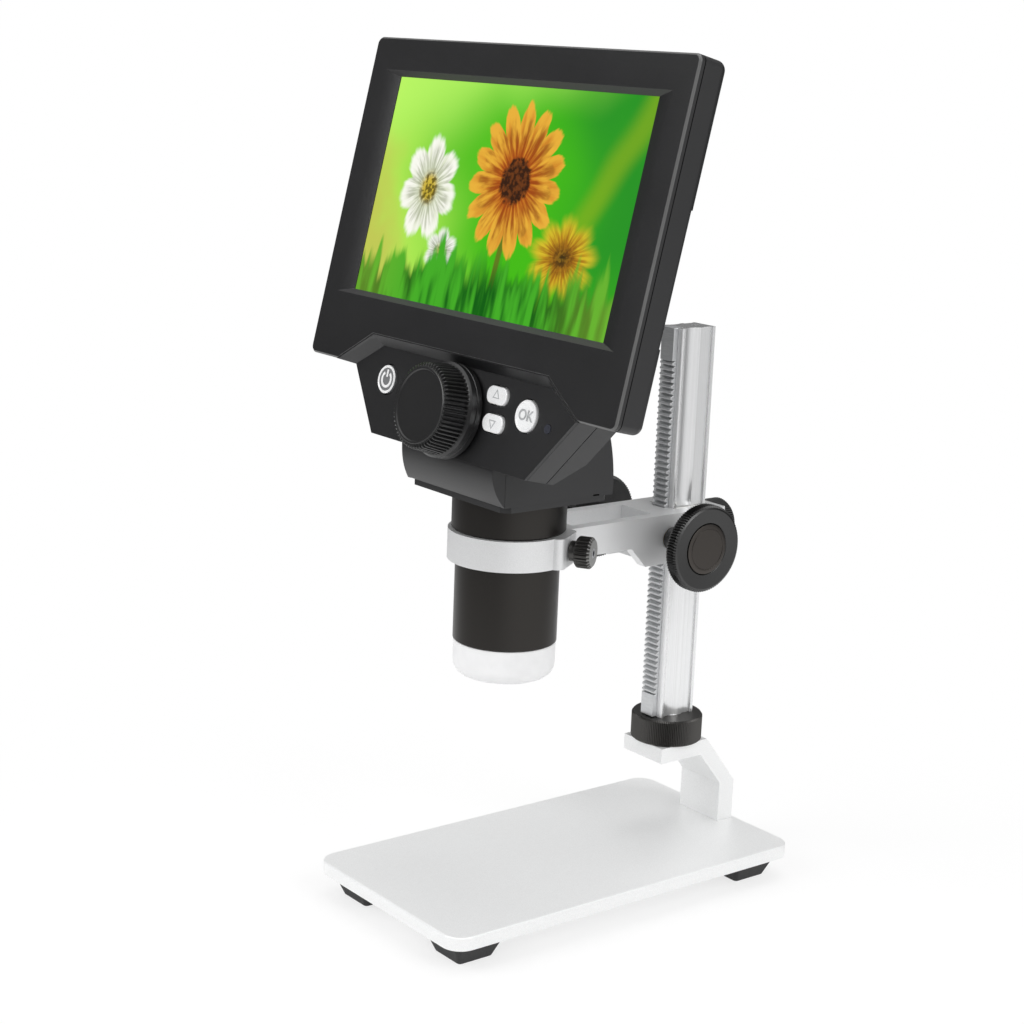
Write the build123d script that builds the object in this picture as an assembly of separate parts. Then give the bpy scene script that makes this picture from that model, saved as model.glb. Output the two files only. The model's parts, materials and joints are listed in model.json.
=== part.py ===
from build123d import *
import math
import os

# LCD digital microscope on a rack-and-pinion stand, in millimetres.
# +Z is up, the user sits on the -Y side and the column stands on the +Y side.
# The origin is on the table, under the middle of the object.

# ---------------------------------------------------------------- driving sizes

# Base plate and feet
plate_width = 95.7
plate_depth = 176.8
plate_thickness = 5.4
plate_corner = 8.0
foot_height = 9.4
foot_top = 24.0
foot_bottom = 16.0
foot_inset = 4.3

# Bent bracket under the column
bracket_width = 24.0
bracket_inset = 1.9
leg_thickness = 8.3
leg_height = 17.5
platform_height = 39.3
platform_thickness = 6.6
platform_reach = 12.8
slope_thickness = 3.3
bracket_screw_margin = 5.0
column_from_rear = 32.2

# Extruded column, its spigot and its lock ring
column_width = 12.6
column_front = 9.4
column_rear = 8.6
column_height = 176.0
side_groove_width = 9.1
side_groove_depth = 1.3
side_groove_setback = 0.8
step_groove_width = 5.0
step_groove_depth = 0.8
step_groove_setback = 1.4
spigot_radius = 6.1
ring_nut_radius = 15.0
ring_nut_height = 11.3
top_hole_radius = 1.8
top_hole_depth = 12.0
top_hole_setback = 3.4

# Rack and pinion of the height drive
rack_width = 7.4
rack_proud = 2.4
rack_inlay = 2.8
rack_teeth = 60
rack_module = 0.75
pinion_teeth = 13
pressure_angle = 20.0
pinion_width = 8.0
pinion_height = 131.2

# Sliding arm with its clamp ring
arm_width = 28.0
arm_height = 141.3
arm_thickness = 12.1
block_drop = 8.3
block_slope = 7.7
window_width = 18.6
window_end_wall = 1.2
window_side_lip = 6.1
rear_wall = 4.1
liner_thickness = 1.4
barrel_reach = 89.5
clamp_ring_radius = 23.75
clamp_boss_distance = 25.5
clamp_boss_width = 18.6
clamp_boss_round = 3.0
clamp_angle = 32.0

# Height knobs, rear lock knob and ring clamp knob
shaft_radius = 2.5
bush_radius = 4.5
knob_radius = 17.8
knob_thickness = 6.1
knob_span = 70.6
knob_hub_radius = 4.75
knob_cap_radius = 10.2
knob_cap_depth = 1.0
lock_knob_radius = 9.8
lock_knob_length = 9.2
lock_knob_gap = 2.0
clamp_knob_radius = 6.2
clamp_knob_length = 6.4
clamp_hub_radius = 4.0
clamp_hub_length = 2.6
clamp_knob_gap = 0.5
clamp_socket_radius = 1.1
stud_radius = 2.0

# Optical barrel
barrel_radius = 20.5
barrel_wall = 2.0
barrel_drop = 44.5
collar_radius = 22.4
collar_height = 14.4
cap_radius = 20.2
cap_height = 14.3
cap_wall = 1.6
cap_fillet = 5.5
cap_opening = 6.5
cap_spigot = 4.0
lens_tube_radius = 9.0
lens_tube_wall = 1.6
lens_tube_drop = 48.0
lens_tube_length = 46.2
lens_guide_height = 32.0
board_thickness = 1.2
led_count = 8
led_circle = 13.2

# Neck between barrel and screen
neck_width = 62.0
neck_wall = 2.0
neck_rear = 25.6
neck_seam = 26.7
neck_rear_curve = 70.0
neck_front_curve = 22.0
neck_front_rise = 13.6
neck_rear_rise = 3.6
neck_blank_height = 70.0
neck_facet = 3.5
neck_plate_thickness = 2.4
neck_plate_inset = 0.7
neck_plate_corner = 3.0
neck_plate_bore = 12.5

# Screen head, measured in its own tilted frame: x across, u up, n towards the user
screen_tilt = 13.45
screen_rise = 110.2
screen_forward = 14.7
screen_side_margin = 13.05
screen_top_margin = 8.1
screen_chin = 21.6
case_depth = 14.2
case_wall = 2.0
case_corner = 3.0
case_rear_round = 4.0
bezel_thickness = 2.4
bezel_chamfer = 0.7
parting_gap = 0.3
lcd_width = 154.1
lcd_height = 85.92
bevel_width = 170.5
bevel_height = 90.2
lcd_module_width = 164.9
lcd_module_height = 100.0
lcd_module_thickness = 4.5
pod_front = -5.0
pod_parting = -15.5
pod_rear = -25.2
pod_rise = 9.2
pod_top_half = 52.5
pod_shoulder_drop = 0.5
pod_shoulder_half = 69.0
pod_drop = 25.2
pod_bottom_half = 48.8
pod_chamfer_rise = 10.0
pod_chamfer_depth = 6.3
notch_rise = 13.1
notch_top_half = 55.0
notch_mouth_half = 76.0
bulge_rise = 83.6
bulge_top_half = 60.0
fascia_thickness = 1.5
side_recess_low = -41.0
side_recess_high = 7.3
side_recess_depth = 2.6

# Controls on the fascia, placed across and up from the middle of the chin's lower edge
button_proud = 1.0
button_travel = 0.6
button_flange = 1.2
button_gap = 0.45
power_button_radius = 5.6
ok_button_radius = 5.9
key_width = 11.9
key_height = 6.7
power_place = (-45.5, -3.2)
up_place = (24.0, 1.7)
down_place = (25.0, -8.6)
ok_place = (42.5, -2.8)
indicator_place = (55.2, -5.3)
indicator_radius = 1.75
wheel_drop = 8.4
wheel_radius = 17.3
wheel_shoulder_radius = 16.3
wheel_band_radius = 18.2
wheel_face_radius = 14.3
wheel_front = 11.9
wheel_shoulder = 10.8
wheel_band_front = 1.5
wheel_gap = 0.8
wheel_back_chamfer = 0.5
focus_shaft_radius = 2.0
focus_module = 0.6
focus_teeth = 12
focus_rack_width = 6.0
focus_rack_length = 28.0
focus_rack_back = 9.0
focus_rack_lift = 4.6
stem_width = 4.0
stem_inset = 0.4

# Boards and battery inside the head
main_board_width = 104.0
main_board_height = 22.0
main_board_rise = 4.7
main_board_lift = 2.4
board_post_radius = 2.5
board_post_margin = 6.0
chip_height = 1.8
battery_width = 66.0
battery_height = 48.0
battery_thickness = 8.0
battery_margin = 4.0
port_board_width = 9.3
port_board_height = 42.0
port_board_middle = -17.0
usb_width = 9.0
usb_height = 3.2
card_width = 14.0
card_height = 2.1
socket_spread = 9.75
ribbon_width = 10.0
ribbon_thickness = 0.35
ribbon_place = 20.0
sensor_half = 15.0

# Clearances
running_fit = 0.05
sliding_gap = 0.1
free_gap = 0.3
press_gap = 0.02

# ---------------------------------------------------------------- derived places

stage_top = foot_height + plate_thickness
column_y = plate_depth / 2 - column_from_rear
platform_top = stage_top + platform_height
column_foot = platform_top + ring_nut_height + sliding_gap
column_top = platform_top + column_height
column_front_y = column_y - column_front
column_rear_y = column_y + column_rear

rack_addendum = 0.7 * rack_module
rack_depth = 2.13 * rack_module
rack_pitch = math.pi * rack_module
pinion_pitch_radius = rack_module * pinion_teeth / 2
rack_tip_y = column_front_y - rack_proud
rack_base_y = column_front_y + rack_inlay
pinion_y = rack_tip_y + rack_addendum - pinion_pitch_radius
pinion_z = stage_top + pinion_height
chamber_radius = pinion_pitch_radius + 1.9 * rack_module

barrel_y = column_y - barrel_reach
arm_top = stage_top + arm_height
arm_bottom = arm_top - arm_thickness
block_bottom = arm_bottom - block_drop
window_front_y = barrel_y + clamp_ring_radius + 0.5
window_rear_y = pinion_y - chamber_radius - window_end_wall
block_front_y = window_rear_y - window_side_lip
block_rear_y = column_rear_y + sliding_gap + rear_wall
clamp_z = arm_top - arm_thickness / 2

collar_bottom = arm_top + sliding_gap
collar_top = collar_bottom + collar_height
neck_bottom = collar_top + neck_plate_thickness
barrel_bottom = arm_top - barrel_drop
cap_bottom = barrel_bottom - cap_height
lens_tube_bottom = arm_top - lens_tube_drop
led_board_z = barrel_bottom + cap_spigot
neck_front_y = barrel_y - neck_seam
neck_rear_y = barrel_y + neck_rear

case_half_width = lcd_module_width / 2 + screen_side_margin
case_top = lcd_module_height / 2 + screen_top_margin
case_bottom = -lcd_module_height / 2 - screen_chin
pod_top = case_bottom + pod_rise
pod_shoulder = case_bottom - pod_shoulder_drop
pod_bottom = case_bottom - pod_drop
notch_top = case_bottom + notch_rise
bulge_top = case_bottom + bulge_rise
wheel_at = case_bottom - wheel_drop
key_corner = 0.48 * key_height
power_at, up_at, down_at, ok_at, indicator_at = [
    (x, case_bottom + up) for x, up in (power_place, up_place, down_place, ok_place, indicator_place)]

screen_y = barrel_y - screen_forward
screen_z = neck_bottom + screen_rise
tilt = math.radians(screen_tilt)
screen_frame = Plane(
    origin=(0, screen_y, screen_z),
    x_dir=(1, 0, 0),
    z_dir=(0, -math.cos(tilt), math.sin(tilt)),
).location

focus_pitch_radius = focus_module * focus_teeth / 2
focus_addendum = 0.7 * focus_module
focus_depth = 1.9 * focus_module
focus_pitch = math.pi * focus_module


# ---------------------------------------------------------------- helpers

def block(x, y, z):
    """Box between two corners, each axis given as (low, high)."""
    middle = [(low + high) / 2 for low, high in (x, y, z)]
    return Pos(*middle) * Box(x[1] - x[0], y[1] - y[0], z[1] - z[0])


def rod(radius, low, high, at=(0, 0)):
    """Upright cylinder between two heights."""
    return Pos(at[0], at[1], (low + high) / 2) * Cylinder(radius, high - low)


def cross_rod(radius, low, high, y, z):
    """Cylinder along X."""
    return Pos((low + high) / 2, y, z) * Rot(0, 90, 0) * Cylinder(radius, high - low)


def depth_rod(radius, low, high, x, z):
    """Cylinder along Y."""
    return Pos(x, (low + high) / 2, z) * Rot(-90, 0, 0) * Cylinder(radius, high - low)


def clamp_rod(radius, low, high):
    """Cylinder on the clamp screw's axis, between two distances from the barrel's axis."""
    along = Pos(0, barrel_y, clamp_z) * Rot(0, 0, clamp_angle) * Rot(0, 90, 0)
    return along * Pos(0, 0, (low + high) / 2) * Cylinder(radius, high - low)


def prism(points, low, high):
    """Polygon in the XY plane, raised from low to high."""
    face = Polygon(*points, align=None)
    return Pos(0, 0, low) * extrude(face, amount=high - low, dir=(0, 0, 1))


def side_prism(points, width):
    """Polygon given as (y, z), centred on X."""
    return extrude(Plane.YZ * Polygon(*points, align=None), amount=width / 2, both=True)


def mirrored(points):
    """Closed outline from its right half, listed from the top down."""
    return points + [(-x, y) for x, y in reversed(points)]


def tube(outer, inner, low, high, at=(0, 0)):
    """Upright ring."""
    return rod(outer, low, high, at) - rod(inner, low, high, at)


def at_each(shape, places):
    """The same shape at each (x, y) place."""
    return [Pos(x, y, 0) * shape for x, y in places]


def hex_socket(across, low, high):
    """Upright hexagonal hole."""
    hexagon = RegularPolygon(across / math.sqrt(3), 6)
    return Pos(0, 0, low) * extrude(hexagon, amount=high - low)


def upward_screw(head_radius, head_height, radius, head_low, tip):
    """Socket screw driven upwards, with its head at the bottom."""
    head = rod(head_radius, head_low, head_low + head_height)
    shank = rod(radius, head_low + head_height, tip)
    return head + shank - hex_socket(radius * 1.6, head_low, head_low + head_height * 0.6)


def involute_turn(radius, base_radius):
    """Angle that an involute has turned through at a radius."""
    pressure = math.acos(base_radius / radius)
    return math.tan(pressure) - pressure


def pinion_section(module, teeth, addendum, root_radius, backlash, steps=5):
    """Involute spur pinion, with one tooth on the local X axis."""
    pitch_radius = module * teeth / 2
    base_radius = pitch_radius * math.cos(math.radians(pressure_angle))
    tip_radius = pitch_radius + addendum
    half_tooth = (math.pi * module / 2 - backlash) / 2 / pitch_radius
    half_base = half_tooth + involute_turn(pitch_radius, base_radius)
    flank = [(root_radius * 0.9, half_base)]
    for step in range(steps):
        radius = base_radius + (tip_radius - base_radius) * step / (steps - 1)
        flank.append((radius, half_base - involute_turn(radius, base_radius)))
    outline = [(r * math.cos(a), r * math.sin(a)) for r, a in flank]
    outline += [(x, -y) for x, y in reversed(outline)]
    tooth = Polygon(*outline, align=None)
    section = Circle(root_radius)
    for number in range(teeth):
        section += Rot(0, 0, 360 / teeth * number) * tooth
    return section


def rack_outline(pitch, teeth, addendum, depth, back, low_end, high_end):
    """Rack outline as (across, along): pitch line at 0, a gap at 0 along, tips towards -across."""
    slope = math.tan(math.radians(pressure_angle))
    root = depth - addendum
    half_tip = pitch / 4 - addendum * slope
    half_root = pitch / 4 + root * slope
    points = [(back, low_end), (-addendum, low_end)]
    first = -(teeth // 2) * pitch
    points += [(-addendum, first), (root, first)]
    for number in range(teeth):
        middle = first + (number + 0.5) * pitch
        points += [(root, middle - half_root), (-addendum, middle - half_tip)]
        points += [(-addendum, middle + half_tip), (root, middle + half_root)]
    last = first + teeth * pitch
    points += [(root, last), (-addendum, last), (-addendum, high_end), (back, high_end)]
    return points


def rounded_key(width, height, corner, low, high):
    """Upright rounded rectangular bar."""
    return Pos(0, 0, low) * extrude(RectangleRounded(width, height, corner), amount=high - low)


parts = {}

# ---------------------------------------------------------------- stand

plate = Pos(0, 0, foot_height) * extrude(
    RectangleRounded(plate_width, plate_depth, plate_corner), amount=plate_thickness)
plate = chamfer(plate.faces().sort_by(Axis.Z)[-1].edges(), 0.4)

foot_x = plate_width / 2 - foot_inset - foot_top / 2
foot_y = plate_depth / 2 - foot_inset - foot_top / 2
foot_places = [(foot_x, foot_y), (-foot_x, foot_y), (foot_x, -foot_y), (-foot_x, -foot_y)]
foot_screw_radius = 1.5
foot_screw_head = 2.8
foot_screw_recess = 4.0
foot_screw_tip = foot_height + plate_thickness * 0.6

foot = loft([
    RectangleRounded(foot_bottom, foot_bottom, 1.5),
    Pos(0, 0, foot_height) * RectangleRounded(foot_top, foot_top, 2.5),
])
foot -= rod(foot_screw_head + free_gap, 0, foot_screw_recess)
foot -= rod(foot_screw_radius + sliding_gap, foot_screw_recess, foot_height)
foot_screw = upward_screw(
    foot_screw_head, 2.0, foot_screw_radius, foot_screw_recess - 2.0, foot_screw_tip)
for x, y in foot_places:
    plate -= rod(foot_screw_radius + running_fit, foot_height, foot_screw_tip + free_gap, (x, y))
parts["rubber_feet"] = Compound(at_each(foot, foot_places))
parts["foot_screws"] = Compound(at_each(foot_screw, foot_places))

leg_rear = plate_depth / 2 - bracket_inset
leg_middle = leg_rear - leg_thickness / 2
platform_front = column_y - platform_reach
platform_rear = column_y + platform_reach
platform_under = platform_top - platform_thickness
slope_top = platform_rear - slope_thickness
bracket = side_prism([
    (leg_rear, stage_top),
    (leg_rear, stage_top + leg_height),
    (platform_rear, platform_top),
    (platform_front, platform_top),
    (platform_front, platform_under),
    (slope_top, platform_under),
    (leg_rear - leg_thickness, stage_top + leg_height),
    (leg_rear - leg_thickness, stage_top),
], bracket_width)
bracket_screw_radius = 2.0
bracket_screw_head = 3.5
bracket_screw_head_height = 2.4
bracket_screw_tip = stage_top + leg_height * 0.6
bracket_screw_x = bracket_width / 2 - bracket_screw_margin
bracket_screw_places = [(bracket_screw_x, leg_middle), (-bracket_screw_x, leg_middle)]
head_pocket = bracket_screw_head_height + free_gap
for place in bracket_screw_places:
    plate -= rod(bracket_screw_head + free_gap, foot_height, foot_height + head_pocket, place)
    plate -= rod(bracket_screw_radius + sliding_gap, foot_height, stage_top, place)
    bracket -= rod(bracket_screw_radius + running_fit, stage_top, bracket_screw_tip + free_gap, place)
bracket_screw = upward_screw(
    bracket_screw_head, bracket_screw_head_height, bracket_screw_radius,
    foot_height + free_gap, bracket_screw_tip)
parts["base_plate"] = plate
parts["bracket_screws"] = Compound(at_each(bracket_screw, bracket_screw_places))

column_screw_radius = 3.0
column_screw_head = 5.0
column_screw_head_height = 3.2
column_screw_bite = 6.0
column_screw_tip = column_foot + column_screw_bite
column_screw_seat = platform_under + free_gap + column_screw_head_height
bracket -= rod(column_screw_radius + sliding_gap, platform_under, platform_top, (0, column_y))
bracket -= rod(column_screw_head + free_gap, platform_under, column_screw_seat, (0, column_y))
parts["column_bracket"] = bracket
parts["column_screw"] = Pos(0, column_y, 0) * upward_screw(
    column_screw_head, column_screw_head_height, column_screw_radius,
    platform_under + free_gap, column_screw_tip)

half_column = column_width / 2
column = block(
    (-half_column, half_column), (column_front_y, column_rear_y), (column_foot, column_top))
column = fillet(column.edges().filter_by(Axis.Z).group_by(Axis.Y)[0], 1.0)
groove_radius = (side_groove_width ** 2 / 4 + side_groove_depth ** 2) / (2 * side_groove_depth)
groove_y = column_front_y + side_groove_setback + side_groove_width / 2
step_high = column_rear_y - step_groove_setback
for side in (-1, 1):
    groove_x = side * (half_column - side_groove_depth + groove_radius)
    column -= rod(groove_radius, column_foot, column_top, (groove_x, groove_y))
    step_x = sorted((side * (half_column - step_groove_depth), side * (half_column + 1)))
    column -= block(step_x, (step_high - step_groove_width, step_high), (column_foot, column_top))
column -= block(
    (-rack_width / 2 - running_fit, rack_width / 2 + running_fit),
    (column_front_y - 1, rack_base_y), (column_foot, column_top))
column += rod(spigot_radius, platform_top, column_foot, (0, column_y))
column -= rod(
    column_screw_radius + running_fit, platform_top, column_screw_tip + free_gap, (0, column_y))
column -= rod(top_hole_radius, column_top - top_hole_depth, column_top, (0, column_y + top_hole_setback))

rack_low = column_foot + free_gap
rack = side_prism([
    (rack_tip_y + rack_addendum + across, pinion_z + along)
    for across, along in rack_outline(
        rack_pitch, rack_teeth, rack_addendum, rack_depth,
        rack_proud + rack_inlay - rack_addendum,
        rack_low - pinion_z, column_top - pinion_z)
], rack_width)
rack_screw_radius = 1.25
rack_screw_head = 2.4
rack_screw_head_height = 1.5
rack_screw_bite = 2.2
rack_screw_margin = 6.0
rack_screw_places = [column_screw_tip + rack_screw_margin, column_top - top_hole_depth - rack_screw_margin]
rack_screw_seat = column_rear_y - rack_screw_head_height - free_gap
rack_screw_tip = rack_base_y - rack_screw_bite
rack_screws = []
for height in rack_screw_places:
    column -= depth_rod(rack_screw_head + sliding_gap, rack_screw_seat, column_rear_y, 0, height)
    column -= depth_rod(rack_screw_radius + sliding_gap, rack_base_y, rack_screw_seat, 0, height)
    rack -= depth_rod(rack_screw_radius + running_fit, rack_screw_tip - free_gap, rack_base_y, 0, height)
    head = depth_rod(
        rack_screw_head, rack_screw_seat, rack_screw_seat + rack_screw_head_height, 0, height)
    shank = depth_rod(rack_screw_radius, rack_screw_tip, rack_screw_seat, 0, height)
    slot = block(
        (-1.8, 1.8), (rack_screw_seat + 0.8, rack_screw_seat + rack_screw_head_height),
        (height - 0.3, height + 0.3))
    rack_screws.append(head + shank - slot)
parts["column"] = column
parts["rack"] = rack
parts["rack_screws"] = Compound(rack_screws)

ring_nut = rod(ring_nut_radius, platform_top + sliding_gap, platform_top + ring_nut_height, (0, column_y))
ring_nut = chamfer(ring_nut.edges().group_by(Axis.Z)[-1], 0.6)
ring_nut -= rod(spigot_radius + running_fit, platform_top, platform_top + ring_nut_height, (0, column_y))
parts["column_lock_ring"] = ring_nut

# ---------------------------------------------------------------- carriage

half_arm = arm_width / 2
arm_start_y = barrel_y + math.sqrt(clamp_ring_radius ** 2 - half_arm ** 2) - 1.5
slope_start_y = block_front_y - block_slope
arm = side_prism([
    (arm_start_y, arm_top),
    (block_rear_y, arm_top),
    (block_rear_y, block_bottom),
    (block_front_y, block_bottom),
    (slope_start_y, arm_bottom),
    (arm_start_y, arm_bottom),
], arm_width)
arm += rod(clamp_ring_radius, arm_bottom, arm_top, (0, barrel_y))
boss_turn = Pos(0, barrel_y, 0) * Rot(0, 0, clamp_angle)
boss = block(
    (barrel_radius, clamp_boss_distance), (-clamp_boss_width / 2, clamp_boss_width / 2),
    (arm_bottom, arm_top))
boss = fillet(boss.edges().filter_by(Axis.Z).group_by(Axis.X)[-1], clamp_boss_round)
arm += boss_turn * boss
arm -= rod(barrel_radius + running_fit, arm_bottom, arm_top, (0, barrel_y))
arm -= block(
    (-window_width / 2, window_width / 2), (window_front_y, window_rear_y),
    (block_bottom, arm_top))

bore_half = half_column + running_fit + liner_thickness + running_fit
arm -= block(
    (-bore_half, bore_half), (column_front_y - sliding_gap, column_rear_y + sliding_gap),
    (block_bottom, arm_top))
arm -= block(
    (-rack_width / 2 - free_gap, rack_width / 2 + free_gap),
    (rack_tip_y - free_gap, column_front_y), (block_bottom, arm_top))
chamber_half = pinion_width / 2 + free_gap
arm -= cross_rod(chamber_radius, -chamber_half, chamber_half, pinion_y, pinion_z)
arm -= cross_rod(bush_radius + running_fit, -half_arm, half_arm, pinion_y, pinion_z)

lock_z = pinion_z
lock_stud_radius = 2.5
pad_radius = 3.2
pad_thickness = 1.6
pad_front_y = column_rear_y + running_fit
pad_rear_y = pad_front_y + pad_thickness
arm -= depth_rod(pad_radius + running_fit, column_rear_y, pad_rear_y + running_fit, 0, lock_z)
arm -= depth_rod(lock_stud_radius + running_fit, column_rear_y, block_rear_y, 0, lock_z)
arm -= clamp_rod(stud_radius + running_fit, barrel_radius - 1, clamp_boss_distance + 1)
parts["carriage_arm"] = arm
parts["pressure_pad"] = depth_rod(pad_radius, pad_front_y, pad_rear_y, 0, lock_z)

liner_inner = half_column + running_fit
liners = []
for side in (-1, 1):
    liner_x = sorted((side * liner_inner, side * (liner_inner + liner_thickness)))
    liners.append(block(
        liner_x, (column_front_y + 1, column_rear_y - 1), (block_bottom, arm_top)))
parts["guide_liners"] = Compound(liners)

bushes = []
for side in (-1, 1):
    low, high = sorted((side * chamber_half, side * half_arm))
    bush = cross_rod(bush_radius, low, high, pinion_y, pinion_z)
    bushes.append(bush - cross_rod(shaft_radius + running_fit, low, high, pinion_y, pinion_z))
parts["shaft_bushes"] = Compound(bushes)

# ---------------------------------------------------------------- height drive

knob_outer = knob_span / 2
knob_inner = knob_outer - knob_thickness
hub_start = half_arm + free_gap
shaft_end = knob_outer - knob_cap_depth - 1.0
pinion_root_radius = pinion_pitch_radius - rack_addendum - 0.2
gear = extrude(
    pinion_section(rack_module, pinion_teeth, 0.93 * rack_module, pinion_root_radius, 0.12),
    amount=pinion_width / 2, both=True)
gear = Pos(0, pinion_y, pinion_z) * Rot(0, 90, 0) * Rot(0, 0, 90) * gear
parts["pinion_shaft"] = gear + cross_rod(shaft_radius, -shaft_end, shaft_end, pinion_y, pinion_z)

right_knob = cross_rod(knob_radius, knob_inner, knob_outer, pinion_y, pinion_z)
right_knob = chamfer(right_knob.edges().filter_by(GeomType.CIRCLE), 1.2)
right_knob += cross_rod(knob_hub_radius, hub_start, knob_inner + 1, pinion_y, pinion_z)
right_knob -= cross_rod(knob_cap_radius, knob_outer - knob_cap_depth, knob_outer, pinion_y, pinion_z)
right_knob -= cross_rod(shaft_radius + press_gap, hub_start, shaft_end + press_gap, pinion_y, pinion_z)
right_cap = cross_rod(
    knob_cap_radius - running_fit, knob_outer - knob_cap_depth, knob_outer - 0.2,
    pinion_y, pinion_z)
parts["height_knob_right"] = right_knob
parts["height_knob_left"] = mirror(right_knob, Plane.YZ)
parts["knob_cap_right"] = right_cap
parts["knob_cap_left"] = mirror(right_cap, Plane.YZ)

# ---------------------------------------------------------------- lock and clamp screws

lock_knob_front = block_rear_y + lock_knob_gap
lock_knob_rear = lock_knob_front + lock_knob_length
lock_stud_end = lock_knob_rear - 3.0
lock_knob = depth_rod(lock_knob_radius, lock_knob_front, lock_knob_rear, 0, lock_z)
lock_knob = chamfer(lock_knob.edges().filter_by(GeomType.CIRCLE), 0.8)
lock_knob -= depth_rod(lock_stud_radius + press_gap, lock_knob_front, lock_stud_end, 0, lock_z)
parts["lock_knob"] = lock_knob
parts["lock_stud"] = depth_rod(
    lock_stud_radius, pad_rear_y + sliding_gap, lock_stud_end, 0, lock_z)

clamp_hub_start = clamp_boss_distance + clamp_knob_gap
clamp_knob_start = clamp_hub_start + clamp_hub_length
clamp_knob_end = clamp_knob_start + clamp_knob_length
clamp_knob = clamp_rod(clamp_knob_radius, clamp_knob_start, clamp_knob_end)
clamp_knob = chamfer(clamp_knob.edges().filter_by(GeomType.CIRCLE), 0.9)
clamp_knob += clamp_rod(clamp_hub_radius, clamp_hub_start, clamp_knob_start + 1)
clamp_knob -= clamp_rod(stud_radius + press_gap, clamp_hub_start, clamp_knob_end)
parts["clamp_knob"] = clamp_knob
clamp_stud = clamp_rod(stud_radius, barrel_radius + sliding_gap, clamp_knob_end)
clamp_socket = clamp_rod(clamp_socket_radius, clamp_knob_end - 2.0, clamp_knob_end)
parts["clamp_stud"] = clamp_stud - clamp_socket

# ---------------------------------------------------------------- optical barrel

barrel_at = (0, barrel_y)
barrel_bore = barrel_radius - barrel_wall
parts["barrel_tube"] = tube(barrel_radius, barrel_bore, barrel_bottom, collar_top, barrel_at)

collar = rod(collar_radius, collar_bottom, collar_top, barrel_at)
collar = chamfer(collar.edges().group_by(Axis.Z)[0], 0.6)
parts["barrel_collar"] = collar - rod(
    barrel_radius + press_gap, collar_bottom, collar_top, barrel_at)

cap = rod(cap_radius, cap_bottom, barrel_bottom, barrel_at)
cap = fillet(cap.edges().group_by(Axis.Z)[0], cap_fillet)
spigot_outer = barrel_bore - running_fit
cap += rod(spigot_outer, barrel_bottom, led_board_z, barrel_at)
cap -= rod(cap_radius - cap_wall - cap_fillet / 2, cap_bottom + cap_wall, led_board_z, barrel_at)
cap -= rod(cap_opening, cap_bottom, led_board_z, barrel_at)
parts["clear_cap"] = cap

led_board_top = led_board_z + board_thickness
parts["led_board"] = tube(
    barrel_bore - sliding_gap, lens_tube_radius + free_gap, led_board_z, led_board_top, barrel_at)
led = block((-1.0, 1.0), (-1.0, 1.0), (led_board_z - 1.0, led_board_z))
led_places = []
for number in range(led_count):
    angle = 2 * math.pi * number / led_count
    led_places.append((led_circle * math.cos(angle), barrel_y + led_circle * math.sin(angle)))
parts["leds"] = Compound(at_each(led, led_places))

guide_flange = 2.0
guide_radius = lens_tube_radius + 2.0
lens_guide = rod(barrel_bore - running_fit, led_board_top, led_board_top + guide_flange, barrel_at)
lens_guide += rod(guide_radius, led_board_top, led_board_top + lens_guide_height, barrel_at)
parts["lens_guide"] = lens_guide - rod(
    lens_tube_radius + running_fit, led_board_top, led_board_top + lens_guide_height, barrel_at)

# ---------------------------------------------------------------- focus drive

focus_axis = screen_frame * Pos(0, wheel_at, 0)
wheel_back = pod_front + wheel_gap
along_shaft = (screen_forward - wheel_at * math.sin(tilt)) / math.cos(tilt)
focus_gear_middle = -along_shaft
focus_gear_half = focus_rack_width / 2 / math.cos(tilt) + 1.5
shaft_tail = focus_gear_middle - focus_gear_half - 6.0
shaft_head = wheel_front - 4.0

wheel = rod(wheel_band_radius, wheel_back, wheel_band_front)
wheel = chamfer(wheel.edges().group_by(Axis.Z)[0], wheel_back_chamfer)
wheel += Pos(0, 0, (wheel_band_front + wheel_shoulder) / 2) * Cone(
    wheel_radius, wheel_shoulder_radius, wheel_shoulder - wheel_band_front)
wheel += Pos(0, 0, (wheel_shoulder + wheel_front) / 2) * Cone(
    wheel_shoulder_radius, wheel_face_radius, wheel_front - wheel_shoulder)
wheel -= rod(focus_shaft_radius + press_gap, wheel_back, shaft_head + press_gap)
parts["focus_wheel"] = focus_axis * wheel

focus_root_radius = focus_pitch_radius - focus_addendum - 0.15
focus_gear = extrude(
    pinion_section(focus_module, focus_teeth, 0.85 * focus_module, focus_root_radius, 0.1),
    amount=focus_gear_half, both=True)
focus_shaft = Pos(0, 0, focus_gear_middle) * focus_gear
focus_shaft += rod(focus_shaft_radius, shaft_tail, shaft_head)
parts["focus_shaft"] = focus_axis * focus_shaft

gear_at = focus_axis * Pos(0, 0, focus_gear_middle)
gear_z = gear_at.position.Z
rack_bottom = neck_bottom + focus_rack_lift
rack_top = rack_bottom + focus_rack_length
rack_half = focus_rack_width / 2
focus_rack_teeth = 2 * math.ceil(focus_rack_length / focus_pitch)
long_rack = rack_outline(
    focus_pitch, focus_rack_teeth, focus_addendum, focus_depth,
    focus_rack_back - focus_pitch_radius,
    -focus_rack_length * 1.3, focus_rack_length * 1.3)
toothed = prism([(focus_pitch_radius + across, along) for across, along in long_rack], -20, 20)
focus_rack = gear_at * toothed & block(
    (0, focus_rack_back), (barrel_y - rack_half, barrel_y + rack_half), (rack_bottom, rack_top))

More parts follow.
